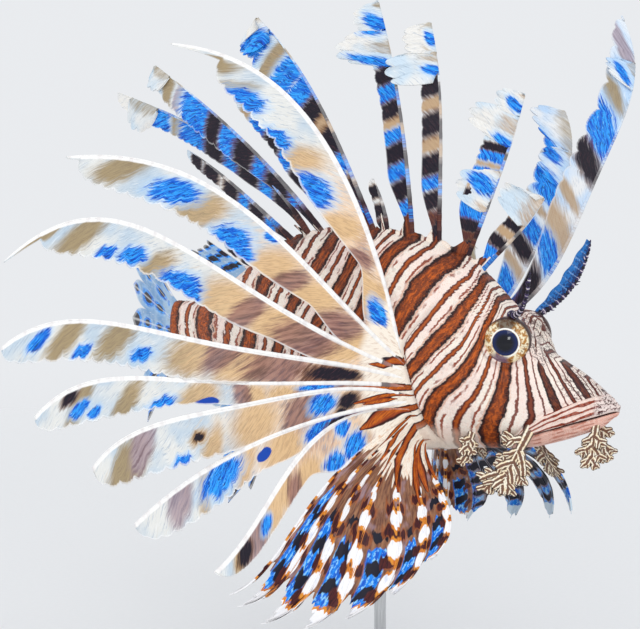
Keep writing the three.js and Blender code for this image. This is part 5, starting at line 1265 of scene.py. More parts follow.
def build_fan(name, rays, side, node):
    n = len(rays)
    per, ns = 22, 190
    k = np.linspace(0, n - 1, (n - 1) * per + 1)
    f = k % 1.0
    near = np.minimum(f, 1 - f)
    # how far the membrane reaches between the claws: cut back to a notch just behind each claw
    near_fan = np.interp(f, [0, .03, .09, .16, .5, .8, .95, 1], [.985, .93, .79, .79, .88, .95, .98, .985])
    far_fan = np.interp(f, [0, .10, .19, .26, .31, .36, .44, .56, .64, .70, .78, .88, 1], [.985, .968, .930, .870, .79, .65, .50, .50, .66, .80, .89, .952, .985])
    end = near_fan if side < 0 else near_fan * (1 - sm((k - 2.5) / 1.0)) + far_fan * sm((k - 2.5) / 1.0)
    end = end + 0.010 * np.sin(k * 31) + 0.008 * np.sin(k * 57 + 1)
    end = np.where(near < 1e-6, 0.985, np.minimum(end, 0.985))
    t = np.linspace(0, 1, ns)
    s = -0.03 + (end[:, None] + 0.03) * t[None]
    K = np.broadcast_to(k[:, None], s.shape).copy()
    P = fan_point(rays, side, K, s)
    N = grid_normals(P)
    F = K % 1.0
    near2 = np.minimum(F, 1 - F)
    gap = np.linalg.norm(fan_point(rays, side, np.clip(K + 0.5, 0, n - 1), s) - fan_point(rays, side, np.clip(K - 0.5, 0, n - 1), s), axis=-1)
    # pleats: each ray stands proud, the membrane sinks between
    P = P + N * (0.60 * np.cos(2 * np.pi * F) * sm(s / 0.15) * np.minimum(gap / 5, 1))[..., None]
    lengths = np.interp(K, np.arange(n), [r["len"] for r in rays])
    T = 0.26 + 0.30 * bell(near2, 0, 0.16) + 0.10 * bell(near2, 0.35, 0.06)
    T = T * (1 - 0.25 * t[None]) + 1.0 * np.exp(-np.maximum(s, 0) / 0.05)
    v, q = thick(P, T)
    # patches along each ray; their ends are drawn out into strokes
    noise = np.random.default_rng(int(77 + side))
    cols = len(k)

    def strokes():
        raw = noise.normal(0, 1, cols)
        raw = 0.25 * np.roll(raw, 1) + 0.5 * raw + 0.25 * np.roll(raw, -1)
        return np.clip(raw, -1.6, 1.6)[:, None] * 0.020
    z = np.zeros(s.shape)
    white, black, blot, halo = z.copy(), z.copy(), z.copy(), z.copy()
    banded = sm((K - 2.6) / 0.6) * (side > 0)
    for i, (row_s, hl) in enumerate(((0.33, .028), (0.455, .036), (0.60, .042), (0.745, .048))):
        shift = strokes()
        for j in range(n):
            wide = (0.20, 0.22, 0.23, 0.20)[i]
            c = row_s + 0.014 * math.sin(j * 2.3 + i) + 0.010 * math.sin(j * 5.1 + i * 2)
            lean = -0.045 * (K - j)
            y = (s + shift + lean - c) / hl
            white = np.maximum(white, block((K - j + 0.05) / (wide * (1 - 0.22 * np.clip(np.abs(y), 0, 1))), y))
            halo = np.maximum(halo, block((K - j + 0.05) / (wide * 0.72), (s + shift * 1.3 + lean - c) / (hl + 0.020)))
    shift = strokes()
    tipw = np.where((K % 1.0 > 0.35) | (K % 1.0 < 0.05), np.clip(0.5 + (s + shift - 0.885) / 0.035, 0, 1), 0)
    white = np.maximum(white, tipw)
    halo = np.maximum(halo, np.where(tipw > 0, np.clip(0.5 + (s + shift * 1.3 - 0.868) / 0.03, 0, 1), 0))
    for i, (row_s, hl) in enumerate(((0.395, .026), (0.525, .030), (0.672, .034), (0.825, .036), (0.265, .030))):
        shift = strokes()
        for j in range(n):
            c = row_s + 0.014 * math.sin(j * 2.3 + i)
            black = np.maximum(black, block((K - j + 0.08) / (0.34 if i < 4 else 0.2), (s + shift - 0.04 * (K - j) - c) / hl))
    for row_s, hl in ((0.50, .024), (0.635, .034), (0.78, .034)):
        shift = strokes()
        for j in range(n - 1):
            y = (s + shift - row_s - 0.03 * math.cos(j * 1.9)) / hl
            blot = np.maximum(blot, block((K - j - 0.52) / 0.22, y))
    early = 0.12 * sm((2.2 - K) / 1.2)
    blue = np.clip(1.12 - 0.5 * np.abs(F - 0.5) / 0.19, 0, 1) * sm((s + 1.5 * strokes() - 0.53 + early) / 0.08)
    # the lobes under the head: blue with dark bands and pale tips
    for row_s, hl in ((0.24, .03), (0.37, .032), (0.50, .034), (0.63, .034), (0.76, .030), (0.87, .016)):
        blot = np.maximum(blot, banded * np.clip(1 - 0.5 * np.abs(s + strokes() * 0.6 - row_s - 0.02 * np.sin(3 * K)) / hl, 0, 1))
    blue = np.maximum(blue, banded * sm((s - 0.15) / 0.05))
    white = white * (1 - banded) + banded * np.clip(0.5 + (s + strokes() - 0.93) / 0.06, 0, 1)
    black, halo = black * (1 - banded), halo * (1 - banded)
    shift = strokes()
    root = 1 - sm((s + 2.6 * shift - 0.17 - 0.03 * np.sin(K * 2.1)) / 0.10)
    x = s * 100.0
    st = np.stack([x, K * 9.0, np.full(s.shape, 3.0 + 7 * (side > 0))], -1)
    root = root * (1 - banded)
    hub = hub_field(K + 8, s * lengths) * (1 - 0.7 * banded)
    at = dict(cl=np.stack([near2, s, K], -1), st=st, fb=np.stack([white, black, blue, root], -1), fc=np.stack([hub, halo, blot, banded], -1))
    b = Build()
    b.add(v, q, **{k2: twice(x2) for k2, x2 in at.items()})
    # a stiff ray runs down every pleat into its claw
    for j in range(n):
        s2 = np.concatenate([[-0.03], np.linspace(0, 1.0, 60)])
        C = ray_point(rays[j], side, s2)
        i0 = j * per
        Nj = N[i0][np.clip((np.searchsorted(s[i0], s2)), 0, ns - 1)]
        C = C + Nj * 0.30
        rad = np.interp(s2, [0, 0.2, 0.8, 1.0], [0.9, 0.62, 0.48, 0.12]) * (1 + 0.06 * np.sin(s2 * 150))
        v, q, tt = tube(C, rad, 8)
        i2 = np.clip(np.searchsorted(s[i0], s2), 0, ns - 1)
        b.add(v, q, tt, **{k2: tube_attr(x2[i0][i2]) for k2, x2 in at.items()})
    return b.done(name, CLAW, [node])


# ---------------------------------------------------------------- dorsal, anal, tail and pelvic fins
# each ray: [root, azimuth, elevation, length]; the root is a station, or a height for the caudal fin
SOFT_DORSAL = [[183, 155, 20, 34], [192, 152, 16, 40], [201, 149, 11, 38], [209, 147, 6, 30], [215, 146, 2, 20]]
ANAL = [[165, 158, -72, 44], [171, 150, -66, 59], [178, 148, -58, 50], [186, 147, -46, 40], [194, 146, -32, 28]]
CAUDAL = [[14, 141, 28, 58], [10, 140, 20, 66], [5, 139, 10, 70], [0, 138, 0, 72], [-4, 138, -13, 71], [-8, 138, -26, 68], [-11, 138, -39, 62]]
PELVIC = {
    "right": (262, [[84, -22, -58, 35], [87, -60, -72, 46], [89, -110, -76, 52], [91, -150, -70, 50], [93, -160, -58, 42]]),
    "left": (278, [[84, 100, -80, 34], [87, 120, -80, 44], [89, 140, -76, 50], [91, 155, -68, 48], [93, 162, -56, 42]]),
}


def web_grid(rays, root_of, k, s, curl):
    rays = np.array(rays, float)
    i = np.clip(np.floor(k).astype(int), 0, len(rays) - 2)
    f = (k - i)[..., None]
    at, az, el, ln = np.moveaxis(rays[i] * (1 - f) + rays[i + 1] * f, -1, 0)
    az, el = az * RAD, el * RAD
    d = np.stack([np.cos(az) * np.cos(el), np.sin(az) * np.cos(el), np.sin(el)], -1)
    back = np.array([-1.0, 0, 0]) + d * d[..., :1]
    P = root_of(at) + d * (ln * s)[..., None] + back * (curl * ln * np.maximum(s, 0) ** 2)[..., None]
    return P, ln


def build_web(name, rays, root_of, node, mat, pattern, curl=0.0, notch=0.13, sub=3, seed=0.0, spread=1.0, cleft=0.6):
    """pattern(k, s, mm) returns marks F (blue, tan, black, mauve) and G (orange, spot, white, root)"""
    n = len(rays)
    per, ns = 26, 110
    k = np.linspace(0, n - 1, (n - 1) * per + 1)
    t = np.linspace(0, 1, ns)
    fine = (k * sub) % 1.0
    f = k % 1.0
    # every branch ends in a rounded lobe, with a cleft between two lobes
    lobe = np.clip(np.minimum(fine, 1 - fine) / 0.5, 0, 1)
    end = 0.995 - 0.30 * notch * np.sin(np.pi * f) ** 0.8 - notch * (1 - np.sqrt(np.clip(1 - (lobe / 0.98) ** 2.6, 0, 1))) * cleft
    K = np.broadcast_to(k[:, None], (len(k), ns)).copy()
    S = -0.05 + (end[:, None] + 0.05) * t[None]
    P, ln = web_grid(rays, root_of, K, S, curl)
    N = grid_normals(P)
    P = P + N * ((0.35 * np.cos(2 * np.pi * K * sub) + 0.9 * np.sin(K * 2.2 + seed) * np.maximum(S, 0) ** 2) * sm(S / 0.3))[..., None]
    ridge = np.exp(-(np.minimum(fine, 1 - fine) / 0.10) ** 2)[:, None]
    T = (0.24 + 0.26 * ridge) * (1 - 0.35 * t[None]) + 1.1 * np.exp(-np.maximum(S, 0) / 0.06)
    v, q = thick(P, T)
    F, G = pattern(K, S, S * ln)
    st = np.stack([S * ln, K * 6.0 * spread, np.full(S.shape, seed)], -1)
    w = np.clip((S + 0.05) / (end[:, None] + 0.05), 0, 1)
    at = dict(fa=F, fb=G, st=st, sw=np.stack([S * ln, w, K], -1), shaft=np.broadcast_to(0.55 * ridge * sm((S - 0.02) / 0.1) * 0.9, S.shape)[..., None])
    b = Build()
    b.add(v, q, **{k2: twice(x) for k2, x in at.items()})
    return b.done(name, mat, [node])


def dotted(sub, pitch, along, across, gap_mm, lengths):
    def pattern(k, s, mm):
        F, G = np.zeros(k.shape + (4,)), np.zeros(k.shape + (4,))
        ray = np.floor(k * sub + 0.5)
        dk = (k * sub - ray) / sub * gap_mm
        ln = np.interp(k, np.arange(len(lengths)), lengths)
        # a dot on the end of every ray, the rest in rows towards the root
        back = ln * 0.90 - mm
        ds = ((back / pitch + 0.5) % 1.0 - 0.5) * pitch
        grow = 0.85 + 0.3 * np.sin(ray * 2.7 + np.floor(back / pitch + 0.5) * 1.9)
        d = np.hypot(dk / across, ds / along) / grow
        F[..., 2] = np.clip(1 - 0.5 * d, 0, 1) * sm((s - 0.06) / 0.1)
        # a blue shade around each dot
        F[..., 0] = np.clip(1 - 0.5 * d / 1.7, 0, 1) * sm((s - 0.06) / 0.1)
        return F, G
    return pattern


def banded(rows, tip=0.9):
    def pattern(k, s, mm):
        F, G = np.zeros(k.shape + (4,)), np.zeros(k.shape + (4,))
        for kind, c, h in rows:
            d = np.abs(s - c - 0.03 * np.sin(k * 3.1 + c * 9)) / h
            ch = KIND.get(kind)
            if ch is not None:
                F[..., ch] = np.maximum(F[..., ch], np.clip(1 - 0.5 * d, 0, 1))
            else:
                G[..., 2] = np.maximum(G[..., 2], np.clip(1 - 0.5 * d, 0, 1))
        G[..., 2] = np.maximum(G[..., 2], sm((s - tip) / 0.06))
        return F, G
    return pattern


def build_webs():
    def back(u):
        return in_frame(u, 0 * u, PROFILE["top"](u) - 0.4)

    def belly(u):
        return in_frame(u, 0 * u, -PROFILE["bot"](u) + 0.4)

    def tail(h):
        return in_frame(BODY_LENGTH + 0 * h, 0 * h, h)
    build_web("soft_dorsal", SOFT_DORSAL, back, "dorsal_soft", WEBM, dotted(3, 12.0, 2.6, 2.2, 9, [r[3] for r in SOFT_DORSAL]), seed=41.0, sub=3, notch=0.30)
    build_web("anal", ANAL, belly, "anal_fin", WEBM, dotted(1, 15.0, 4.0, 2.3, 12, [r[3] for r in ANAL]), curl=0.1, seed=43.0, sub=1, notch=0.30, cleft=0.7)
    build_web("caudal", CAUDAL, tail, "caudal_fin", WEBM, dotted(1, 19.0, 5.4, 2.3, 13, [r[3] for r in CAUDAL]), seed=47.0, sub=1, notch=0.30, cleft=0.8)
    for side, (th, rays) in PELVIC.items():
        rows = [("k", .16, .05), ("t", .26, .04), ("k", .36, .05), ("b", .46, .05), ("k", .56, .055), ("b", .66, .05), ("k", .76, .05), ("t", .84, .03)]
        build_web(f"pelvic_{side}_web", rays, lambda u, th=th: surface(u, th * RAD), f"pelvic_{side}", PELM, banded(rows, 0.93), seed=51.0 + len(side), notch=0.16)


# ---------------------------------------------------------------- eyes
def eye_material():
    m = Mat("eye")
    rho, phi, front = m.split(m.attr("eye", "Vector"))   # distance from the axis in mm, angle, 1 = in front of the iris
    mm = m.place()
    ray = m.noise(m.vec(m.mul(m.math("COSINE", phi), 7.0), m.mul(m.math("SINE", phi), 7.0), m.mul(rho, 0.45)), 1.0, 4.0, 0.7, centred=True)
    blot = m.noise(mm, 0.55, 3.0, 0.65)
    col = m.mix(m.step(blot, 0.44, 0.58), (0.94, 0.84, 0.58), (0.46, 0.20, 0.035))
    col = m.mix(m.mul(m.step(ray, 0.03, 0.15), 0.80), col, (0.10, 0.04, 0.02))
    col = m.mix(m.mul(m.step(ray, -0.06, -0.20), 0.7), col, (0.93, 0.90, 0.80))
    # the dark stripe crosses above and below the pupil
    v = m.math("SINE", phi)
    bar = m.mul(m.step(m.absv(m.add(m.math("COSINE", phi), m.mul(blot, 0.3))), 0.62, 0.28), m.step(rho, 5.2, 6.0))
    up = m.step(v, 0.0, 0.3)
    col = m.mix(m.mul(bar, 0.85), col, m.mix(up, (0.13, 0.07, 0.16), (0.05, 0.025, 0.02)))
    # painted shadow of the lid: the ball darkens towards its rim, where the lid meets it
    col = m.mix(m.step(rho, 8.9, 9.6), col, (0.05, 0.02, 0.016))
    ring = m.mul(m.step(m.absv(m.sub(rho, 5.75)), 0.42, 0.18), m.step(m.add(m.math("SINE", m.add(phi, 0.6)), m.mul(ray, 1.0)), -0.9, -0.3))
    col = m.mix(ring, col, (0.93, 0.92, 0.88))
    pupil = m.step(m.add(rho, m.mul(ray, 0.25)), 5.50, 5.22)
    # the pupil is black in the middle, with a painted blue sheen towards its rim
    pupil_and_sheen = m.mix(m.step(rho, 5.2, 2.6), (0.002, 0.012, 0.085), (0.0006, 0.001, 0.006))
    col = m.mix(pupil, col, pupil_and_sheen)
    n = m.bump(m.mul(ray, m.inv(pupil)), 0.25, 0.0002)
    return m.finish(col, m.mix(pupil, (0.40, 0.40, 0.40), (0.10, 0.10, 0.10)), n, spec=0.12, coat=0.50, coat_rough=0.03)


EYEM = eye_material()


def build_eye(side, node):
    f = EYE
    nr, na = 70, 120
    x = np.linspace(0, np.pi * 0.5, nr)[1:]
    rho = np.sin(x) * f["radius"]
    # the cornea bulges over the pupil
    depth = np.cos(x) * f["depth"] + 0.35 * bell(rho, 0, 4.6)
    rear = -np.cos(x[::-1][1:]) * f["depth"] * 0.8
    rho2 = np.concatenate([rho, rho[::-1][1:]])
    dep = np.concatenate([depth, rear])
    front = np.concatenate([np.ones(len(rho)), np.zeros(len(rear))])
    phi = np.arange(na) / na * 2 * np.pi
    R, Phi = np.meshgrid(rho2, phi, indexing="ij")
    D = np.broadcast_to(dep[:, None], R.shape)
    base, ahead, up, out = eye_axes(side)
    P = base + ahead * (R * np.cos(Phi))[..., None] + up * (R * np.sin(Phi))[..., None] + out * D[..., None]
    m = len(rho2)
    v = np.concatenate([P.reshape(-1, 3), (base + out * (f["depth"] + 0.35))[None], (base - out * f["depth"] * 0.8)[None]])
    q = grid_quads(m, na, True)
    j = np.arange(na); k = (j + 1) % na
    tt = np.concatenate([np.stack([np.full(na, m * na), j, k], -1), np.stack([np.full(na, m * na + 1), (m - 1) * na + k, (m - 1) * na + j], -1)])
    at = np.stack([R, Phi, np.broadcast_to(front[:, None], R.shape)], -1).reshape(-1, 3)
    at = np.concatenate([at, [[0, 0, 1], [0, 0, 0]]])
    b = Build()
    b.add(v, q, tt, eye=at)
    b.done(node + "_ball", EYEM, [node])


# ---------------------------------------------------------------- tentacles over the eyes
TENTACLE = {
    "right": dict(u=47.5, th=113, az=-53, el=37, len=33, lift=0.18, r0=1.7, r1=0.75),
    "left": dict(u=46, th=60, az=41, el=53, len=40, lift=0.14, r0=1.7, r1=0.75, leaf=5.8),
}


def tentacle_material():
    m = Mat("tentacle")
    x, ang, leaf = m.split(m.attr("tn", "Vector"))
    mm = m.place()
    n1 = m.noise(mm, 1.2, 3.0, 0.6, centred=True)
    band = m.absv(m.sub(m.fract(m.add(m.mul(x, 0.30), m.mul(n1, 0.35))), 0.5))
    col = m.mix(m.step(band, 0.20, 0.27), (0.012, 0.010, 0.022), (0.045, 0.028, 0.10))
    col = m.mix(m.step(m.add(band, m.mul(n1, 0.2)), 0.40, 0.46), col, (0.66, 0.60, 0.66))
    bl = m.mix(m.step(m.add(n1, m.mul(m.sub(ang, 0.5), 0.3)), -0.12, 0.14), (0.006, 0.03, 0.14), (0.015, 0.17, 0.52))
    bl = m.mix(m.mul(m.step(m.add(band, m.mul(n1, 0.5)), 0.42, 0.48), 0.35), bl, (0.40, 0.55, 0.78))
    col = m.mix(leaf, col, bl)
    n = m.bump(m.noise(mm, 2.2, 3.0, 0.6), 0.5, 0.0003)
    return m.finish(col, 0.42, n, spec=0.3)


TENT = tentacle_material()


def build_tentacle(side):
    r = TENTACLE[side]
    root = skin(np.array(r["u"]), np.array(r["th"] * RAD))
    az, el = r["az"] * RAD, r["el"] * RAD
    d = np.array([math.cos(az) * math.cos(el), math.sin(az) * math.cos(el), math.sin(el)])
    h = np.array([-math.sin(az), math.cos(az), 0.0])
    v3 = np.cross(d, h)
    s = np.concatenate([[-2.0 / r["len"]], np.linspace(0, 0.99, 150)])
    C = root + d * (r["len"] * s)[:, None] - v3 * (r["lift"] * r["len"] * 4 * s * (1 - s))[:, None]
    bead = 0.5 + 0.5 * np.sin(s * r["len"] * 2 * np.pi / 1.55)
    rad = (1.35 + (0.55 - 1.35) * np.clip(s, 0, 1)) * (0.80 + 0.34 * bead ** 1.5) * (1 - 0.6 * sm((s - 0.93) / 0.07)) + 0.5 * bell(s, 0, 0.06)
    sides = 12
    v, q, t = tube(C, rad, sides)
    x = s * r["len"]
    b = Build()
    b.add(v, q, t, tn=tube_attr(np.stack([x, 0 * x, 0 * x], -1), sides))
    # short side papillae
    T = np.gradient(C, axis=0); T /= np.linalg.norm(T, axis=1, keepdims=True)
    for i in range(8, 140, 7):
        ang = i * 1.9
        side_v = h * math.cos(ang) + v3 * math.sin(ang)
        ln = (1.5 + 0.5 * math.sin(i)) * (1 - 0.5 * s[i])
        pts = C[i] + side_v * np.linspace(0.3, 1, 6)[:, None] * (rad[i] + ln * 0.8) + T[i] * (np.linspace(0, 1, 6) ** 2 * ln * 0.6)[:, None]
        v, q, t = tube(pts, np.array([0.34, 0.32, 0.28, 0.24, 0.18, 0.08]), 6)
        b.add(v, q, t, tn=tube_attr(np.stack([np.full(6, x[i] + 1.7), np.zeros(6), np.zeros(6)], -1), 6))
    if r.get("leaf"):
        # a thin leaf stands along one side
        A, Bq = np.meshgrid(np.linspace(0.02, 0.97, 90), np.linspace(0, 1, 18), indexing="ij")
        c = np.stack([np.interp(A, s, C[:, i]) for i in range(3)], -1)
        wide = (r["leaf"] * np.sin(np.pi * np.clip(A * 0.9 + 0.05, 0, 1)) ** 0.8 + 0.3) * (1 + 0.07 * np.sin(A * 26))
        P = c + v3 * (wide * Bq)[..., None] + h * (0.5 * np.sin(A * 11) * Bq)[..., None]
        v, q = thick(P, 0.42 - 0.2 * Bq)
        b.add(v, q, tn=twice(np.stack([A * r["len"], Bq, np.ones(A.shape)], -1)))
    b.done(f"tentacle_{side}_beaded", TENT, [f"tentacle_{side}"])


# ---------------------------------------------------------------- branched cirri
CIRRI = {
    "chin_right": dict(u=6, th=232, az=-140, el=-80, len=17, face=64, spread=6.2),
    "chin_left": dict(u=7, th=308, az=70, el=-80, len=17, face=64, spread=5.5),
    "cheek_right": dict(u=31, th=209, az=-146, el=-63, len=30, face=64, spread=10.5),
    "cheek_left": dict(u=35, th=308, az=80, el=-50, len=24, face=-64, spread=8.5),
    "gill_right": dict(u=55, th=224, az=-120, el=-72, len=12, face=64, spread=5),
    "gill_left": dict(u=64, th=308, az=60, el=-80, len=13, face=-64, spread=5),
}


def cirrus_material():
    m = Mat("cirrus")
    mid, tip, rim = m.split(m.attr("ci", "Vector"))   # 1 on the middle line, 0..1 along each branch, 1 on its rim
    mm = m.place()
    n1 = m.noise(mm, 1.6, 3.0, 0.6, centred=True)
    col = m.mix(m.step(m.noise(mm, 0.5, 2.0), 0.4, 0.62), (0.97, 0.90, 0.74), (0.92, 0.76, 0.52))
    line = m.step(m.add(mid, m.mul(n1, 0.45)), 0.58, 0.74)
    col = m.mix(m.mul(line, 0.94), col, (0.13, 0.035, 0.012))
    col = m.mix(m.mul(m.step(m.add(rim, m.mul(n1, 0.3)), 0.62, 0.80), 0.92), col, (0.075, 0.022, 0.010))
    spk = m.step(m.noise(mm, 1.4, 2.0, 0.7), 0.62, 0.68)
    col = m.mix(m.mul(spk, 0.6), col, (0.14, 0.06, 0.03))
    col = m.mix(m.step(m.add(tip, m.mul(n1, 0.10)), 0.90, 0.96), col, (0.020, 0.012, 0.012))
    n = m.bump(m.noise(mm, 2.8, 3.0, 0.6), 0.45, 0.0003)
    return m.finish(col, 0.5, n, spec=0.3)


CIRR = cirrus_material()


def build_cirrus(name, c, seed):
    rnd = np.random.default_rng(seed)
    root = skin(np.array(float(c["u"])), np.array(c["th"] * RAD))
    az, el = c["az"] * RAD, c["el"] * RAD
    d = np.array([math.cos(az) * math.cos(el), math.sin(az) * math.cos(el), math.sin(el)])
    f = np.array([math.cos(-c["face"] * RAD), math.sin(-c["face"] * RAD), 0.0])
    w = np.cross(d, f); w /= np.linalg.norm(w)
    n = np.cross(w, d)
    b = Build()
    L, W = c["len"], c["spread"]

    def branch(p, ang, ln, r0, bend, taper=0.15, lift=0.0):
        """a flat lobe with a round end"""
        k, sides = 16, 12
        t = np.linspace(0, 1, k) ** 0.9
        a = ang + bend * t
        seg = np.diff(t) * ln
        dirs = np.cos(a)[:, None] * d + np.sin(a)[:, None] * w + n * lift
        pts = p + np.concatenate([[np.zeros(3)], np.cumsum(dirs[:-1] * seg[:, None], 0)])
        blunt = min(1.1 * r0 / ln, 0.6)
        rad = r0 * (1 - taper * t) * (1 + 0.10 * np.sin(t * ln * 2.6 + seed)) * np.sqrt(np.clip(1 - (np.maximum(t - 1 + blunt, 0) / blunt) ** 2, 0.02, 1))
        v, q, tt = tube(pts, rad, sides, flat=0.48, up=n)
        g = v[:k * sides].reshape(k, sides, 3) - pts[:, None]
        beside = np.cross(dirs, n)
        beside /= np.linalg.norm(beside, axis=1, keepdims=True)
        across = np.abs(np.einsum("kij,kj->ki", g, beside)) / np.maximum(rad, 1e-6)[:, None]
        A = np.zeros((k, sides, 3))
        A[..., 0] = 1 - across
        A[..., 1] = t[:, None]
        A[..., 2] = across
        b.add(v, q, tt, ci=np.concatenate([A.reshape(-1, 3), A[0, :1], A[-1, :1]]))
        return pts, a

    big = L / 30
    stem, ang = branch(root - d * 1.6, 0.0, L * 0.96 + 1.6, 1.3 + 0.9 * big, 0.10 * rnd.normal(), taper=0.45)
    n_side = max(int(round(L / 5.2)), 3)
    for i in range(n_side):
        t = 0.16 + 0.74 * (i + 0.3) / n_side
        wide = W * (math.sin(math.pi * min(max(t, 0.05) * 0.74 + 0.16, 1)) ** 0.8)
        for sgn in (-1, 1):
            at = min(max(t + 0.05 * rnd.normal(), 0.08), 0.93) * (len(stem) - 1)
            j = min(int(at), len(stem) - 2)
            p = stem[j] * (1 - at + j) + stem[j + 1] * (at - j)
            ln = float(np.clip(wide * (1.0 + 0.16 * rnd.normal()), 0.45 * W, 1.15 * W))
            a0 = sgn * (1.05 - 0.45 * t + 0.12 * rnd.normal())
            lift = 0.16 * rnd.normal()
            pts, aa = branch(p, a0, ln, 1.60 + 0.30 * big, -sgn * 0.45, lift=lift)
            spots = (0.42, 0.72) if ln > 5.0 else (0.55,)
            for q_i, tt in enumerate(spots):
                jj = int(tt * (len(pts) - 1))
                for s2 in (-1, 1):
                    l2 = (0.34 - 0.05 * q_i) * ln * (1 + 0.2 * rnd.normal()) + 1.0
                    branch(pts[jj], aa[jj] + s2 * (0.85 + 0.15 * rnd.normal()), max(l2, 2.2), 1.42, -s2 * 0.35, lift=0.25 * rnd.normal())
    b.done(f"frond_{name}", CIRR, [f"cirrus_{name}"])




# ---------------------------------------------------------------- the stand
def plate_material():
    m = Mat("plate")
    mm = m.place()
    x, y, z = m.split(mm)
    warp = m.noise(m.scale(mm, (0.010, 0.05, 0.05)), 1.0, 3.0, 0.6, centred=True)
    rings = m.math("SINE", m.mul(m.add(y, m.mul(warp, 26.0)), 0.55))
    pore = m.step(m.noise(m.scale(mm, (0.05, 1.9, 1.9)), 1.0, 3.0, 0.7), 0.58, 0.70)
    fibre = m.noise(m.scale(mm, (0.03, 1.1, 1.1)), 1.0, 3.0, 0.6)
    col = m.mix(m.step(rings, -0.9, 0.9), (0.060, 0.045, 0.036), (0.036, 0.028, 0.024))
    col = m.mix(m.mul(m.step(fibre, 0.4, 0.7), 0.6), col, (0.085, 0.064, 0.050))
    col = m.mix(m.mul(pore, 0.8), col, (0.012, 0.010, 0.009))
    edge = m.step(z, 7.4, 8.9)
    col = m.mix(m.mul(m.mul(edge, m.inv(m.step(m.absv(m.sub(z, 8.4)), 0.8, 0.2))), 0.0), col, (0.1, 0.08, 0.06))
    h = m.add(m.mul(m.inv(pore), 0.7), m.mul(fibre, 0.4))
    return m.finish(col, m.add(0.34, m.mul(fibre, 0.25)), m.bump(h, 0.35, 0.0002), spec=0.5, coat=0.25, coat_rough=0.22)


def rod_material():
    m = Mat("rod")
    mm = m.place()
    brushed = m.noise(m.scale(mm, (2.2, 2.2, 0.06)), 1.0, 3.0, 0.6)
    fine = m.noise(m.scale(mm, (6.0, 6.0, 0.2)), 1.0, 2.0, 0.6)
    col = m.mix(m.step(brushed, 0.35, 0.65), (0.62, 0.63, 0.64), (0.48, 0.49, 0.50))
    return m.finish(col, m.add(0.20, m.mul(brushed, 0.22)), m.bump(fine, 0.15, 0.0001), metal=1.0)


def put_material(node, mat):
    ob = bpy.data.objects[node]
    if ob.material_slots:
        for slot in ob.material_slots:
            slot.material = mat
    else:
        ob.data.materials.append(mat)


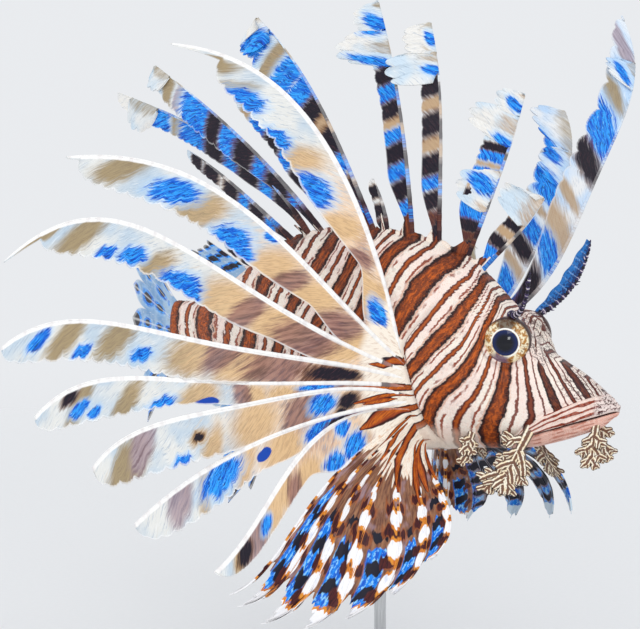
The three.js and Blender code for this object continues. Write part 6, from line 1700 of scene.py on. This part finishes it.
def build_stage():
    m = Mat("floor")
    mm = m.place()
    x, y, z = m.split(mm)
    r = m.math("SQRT", m.add(m.mul(x, x), m.mul(y, y)))
    grain = m.noise(mm, 0.35, 2.0, 0.5)
    col = m.mix(grain, (0.78, 0.785, 0.79), (0.81, 0.815, 0.82))
    b = m.new("ShaderNodeBsdfPrincipled")
    m.put(b.inputs["Base Color"], col)
    b.inputs["Roughness"].default_value = 0.85
    b.inputs["Specular IOR Level"].default_value = 0.1
    tr = m.new("ShaderNodeBsdfTransparent")
    mixn = m.new("ShaderNodeMixShader")
    m.put(mixn.inputs[0], m.step(r, 420.0, 1350.0))
    m.nt.links.new(b.outputs[0], mixn.inputs[1]); m.nt.links.new(tr.outputs[0], mixn.inputs[2])
    o = m.new("ShaderNodeOutputMaterial")
    m.nt.links.new(mixn.outputs[0], o.inputs[0])
    me = bpy.data.meshes.new("floor")
    k = 96
    rr = [0.2, 0.5, 0.9, 1.4]
    vs = [(0, 0, 0)] + [(q * math.cos(2 * math.pi * j / k), q * math.sin(2 * math.pi * j / k), 0) for q in rr for j in range(k)]
    fs = [(0, 1 + j, 1 + (j + 1) % k) for j in range(k)]
    for i in range(len(rr) - 1):
        fs += [(1 + i * k + j, 1 + (i + 1) * k + j, 1 + (i + 1) * k + (j + 1) % k, 1 + i * k + (j + 1) % k) for j in range(k)]
    me.from_pydata(vs, [], fs)
    me.materials.append(m.mat)
    ob = bpy.data.objects.new("floor", me)
    ob.location = (0, 0, -0.0002)
    bpy.context.scene.collection.objects.link(ob)

    def lamp(name, loc, aim, size, power, color=(1, 1, 1)):
        li = bpy.data.lights.new(name, "AREA")
        li.shape = "RECTANGLE"; li.size, li.size_y = size
        li.energy = power; li.color = color
        o2 = bpy.data.objects.new(name, li)
        bpy.context.scene.collection.objects.link(o2)
        d = np.array(aim, float) - np.array(loc, float)
        from mathutils import Vector
        o2.location = loc
        o2.rotation_euler = Vector(d).to_track_quat("-Z", "Y").to_euler()
    lamp("key", (0.65, -1.15, 1.25), (0, 0, 0.15), (0.9, 0.7), 5.8)
    lamp("fill", (-1.2, -0.9, 0.7), (0, 0, 0.15), (1.0, 1.0), 2.2)
    lamp("rear", (-0.2, 1.4, 1.2), (0, 0, 0.15), (1.2, 0.8), 3.0)
    # a small lamp where the upper front of the pupil mirrors it
    base, ahead, up, out = eye_axes(-1)
    lean = ahead * math.cos(1.05) + up * math.sin(1.05)
    dep = lambda r: math.sqrt(1 - (r / EYE["radius"]) ** 2) * EYE["depth"] + 0.35 * float(bell(np.array(r), 0, 4.6))
    nrm = out - lean * (dep(2.85) - dep(2.55)) / 0.3
    nrm = nrm / np.linalg.norm(nrm)
    spot = base + lean * 2.7 + out * dep(2.7)
    look = np.array(bpy.context.scene.camera.matrix_world.translation) / MM - spot
    look = look / np.linalg.norm(look)
    far = 2 * nrm * float(nrm @ look) - look
    lamp("glint", tuple((spot + far * 1000.0) * MM), tuple(spot * MM), (0.17, 0.17), 1.1)
    w = bpy.data.worlds.new("studio")
    bpy.context.scene.world = w
    w.use_nodes = True
    nt = w.node_tree
    nt.nodes.clear()
    bg = nt.nodes.new("ShaderNodeBackground")
    bg.inputs[0].default_value = (0.95, 0.97, 1.0, 1)
    bg.inputs[1].default_value = 0.86
    nt.links.new(bg.outputs[0], nt.nodes.new("ShaderNodeOutputWorld").inputs[0])


def build_camera():
    from mathutils import Matrix
    az, el, dist = 26 * RAD, 6 * RAD, 900.0
    B = np.array([math.sin(az) * math.cos(el), -math.cos(az) * math.cos(el), math.sin(el)])
    Rt = np.array([math.cos(az), math.sin(az), 0.0])
    U = np.cross(B, Rt)
    pos = (SNOUT + B * dist - Rt * 121.22 + U * 38.16) * MM
    cam = bpy.data.cameras.new("camera")
    cam.lens, cam.sensor_width = 124.03, 36.0
    cam.sensor_fit = "HORIZONTAL"
    cam.clip_start, cam.clip_end = 0.05, 50
    ob = bpy.data.objects.new("camera", cam)
    M = Matrix(((Rt[0], U[0], B[0], pos[0]), (Rt[1], U[1], B[1], pos[1]), (Rt[2], U[2], B[2], pos[2]), (0, 0, 0, 1)))
    ob.matrix_world = M
    bpy.context.scene.collection.objects.link(ob)
    bpy.context.scene.camera = ob


# ---------------------------------------------------------------- everything together
build_camera()
build_skin()
build_scales()
build_pectorals()
build_fan("fan_right", RIGHT_CLAWS, -1, "pectoral_right_lower")
build_fan("fan_left", LEFT_CLAWS, 1, "pectoral_left_lower")
build_spines()
build_back_web()
build_webs()
build_eye(-1, "eye_right")
build_eye(1, "eye_left")
for side in ("right", "left"):
    build_tentacle(side)
for k, (name, c) in enumerate(CIRRI.items()):
    build_cirrus(name, c, 100 + k)
put_material("stand_base", plate_material())
put_material("stand_rod", rod_material())
build_stage()
bpy.context.scene.view_settings.view_transform = "Standard"
bpy.context.scene.view_settings.look = "None"
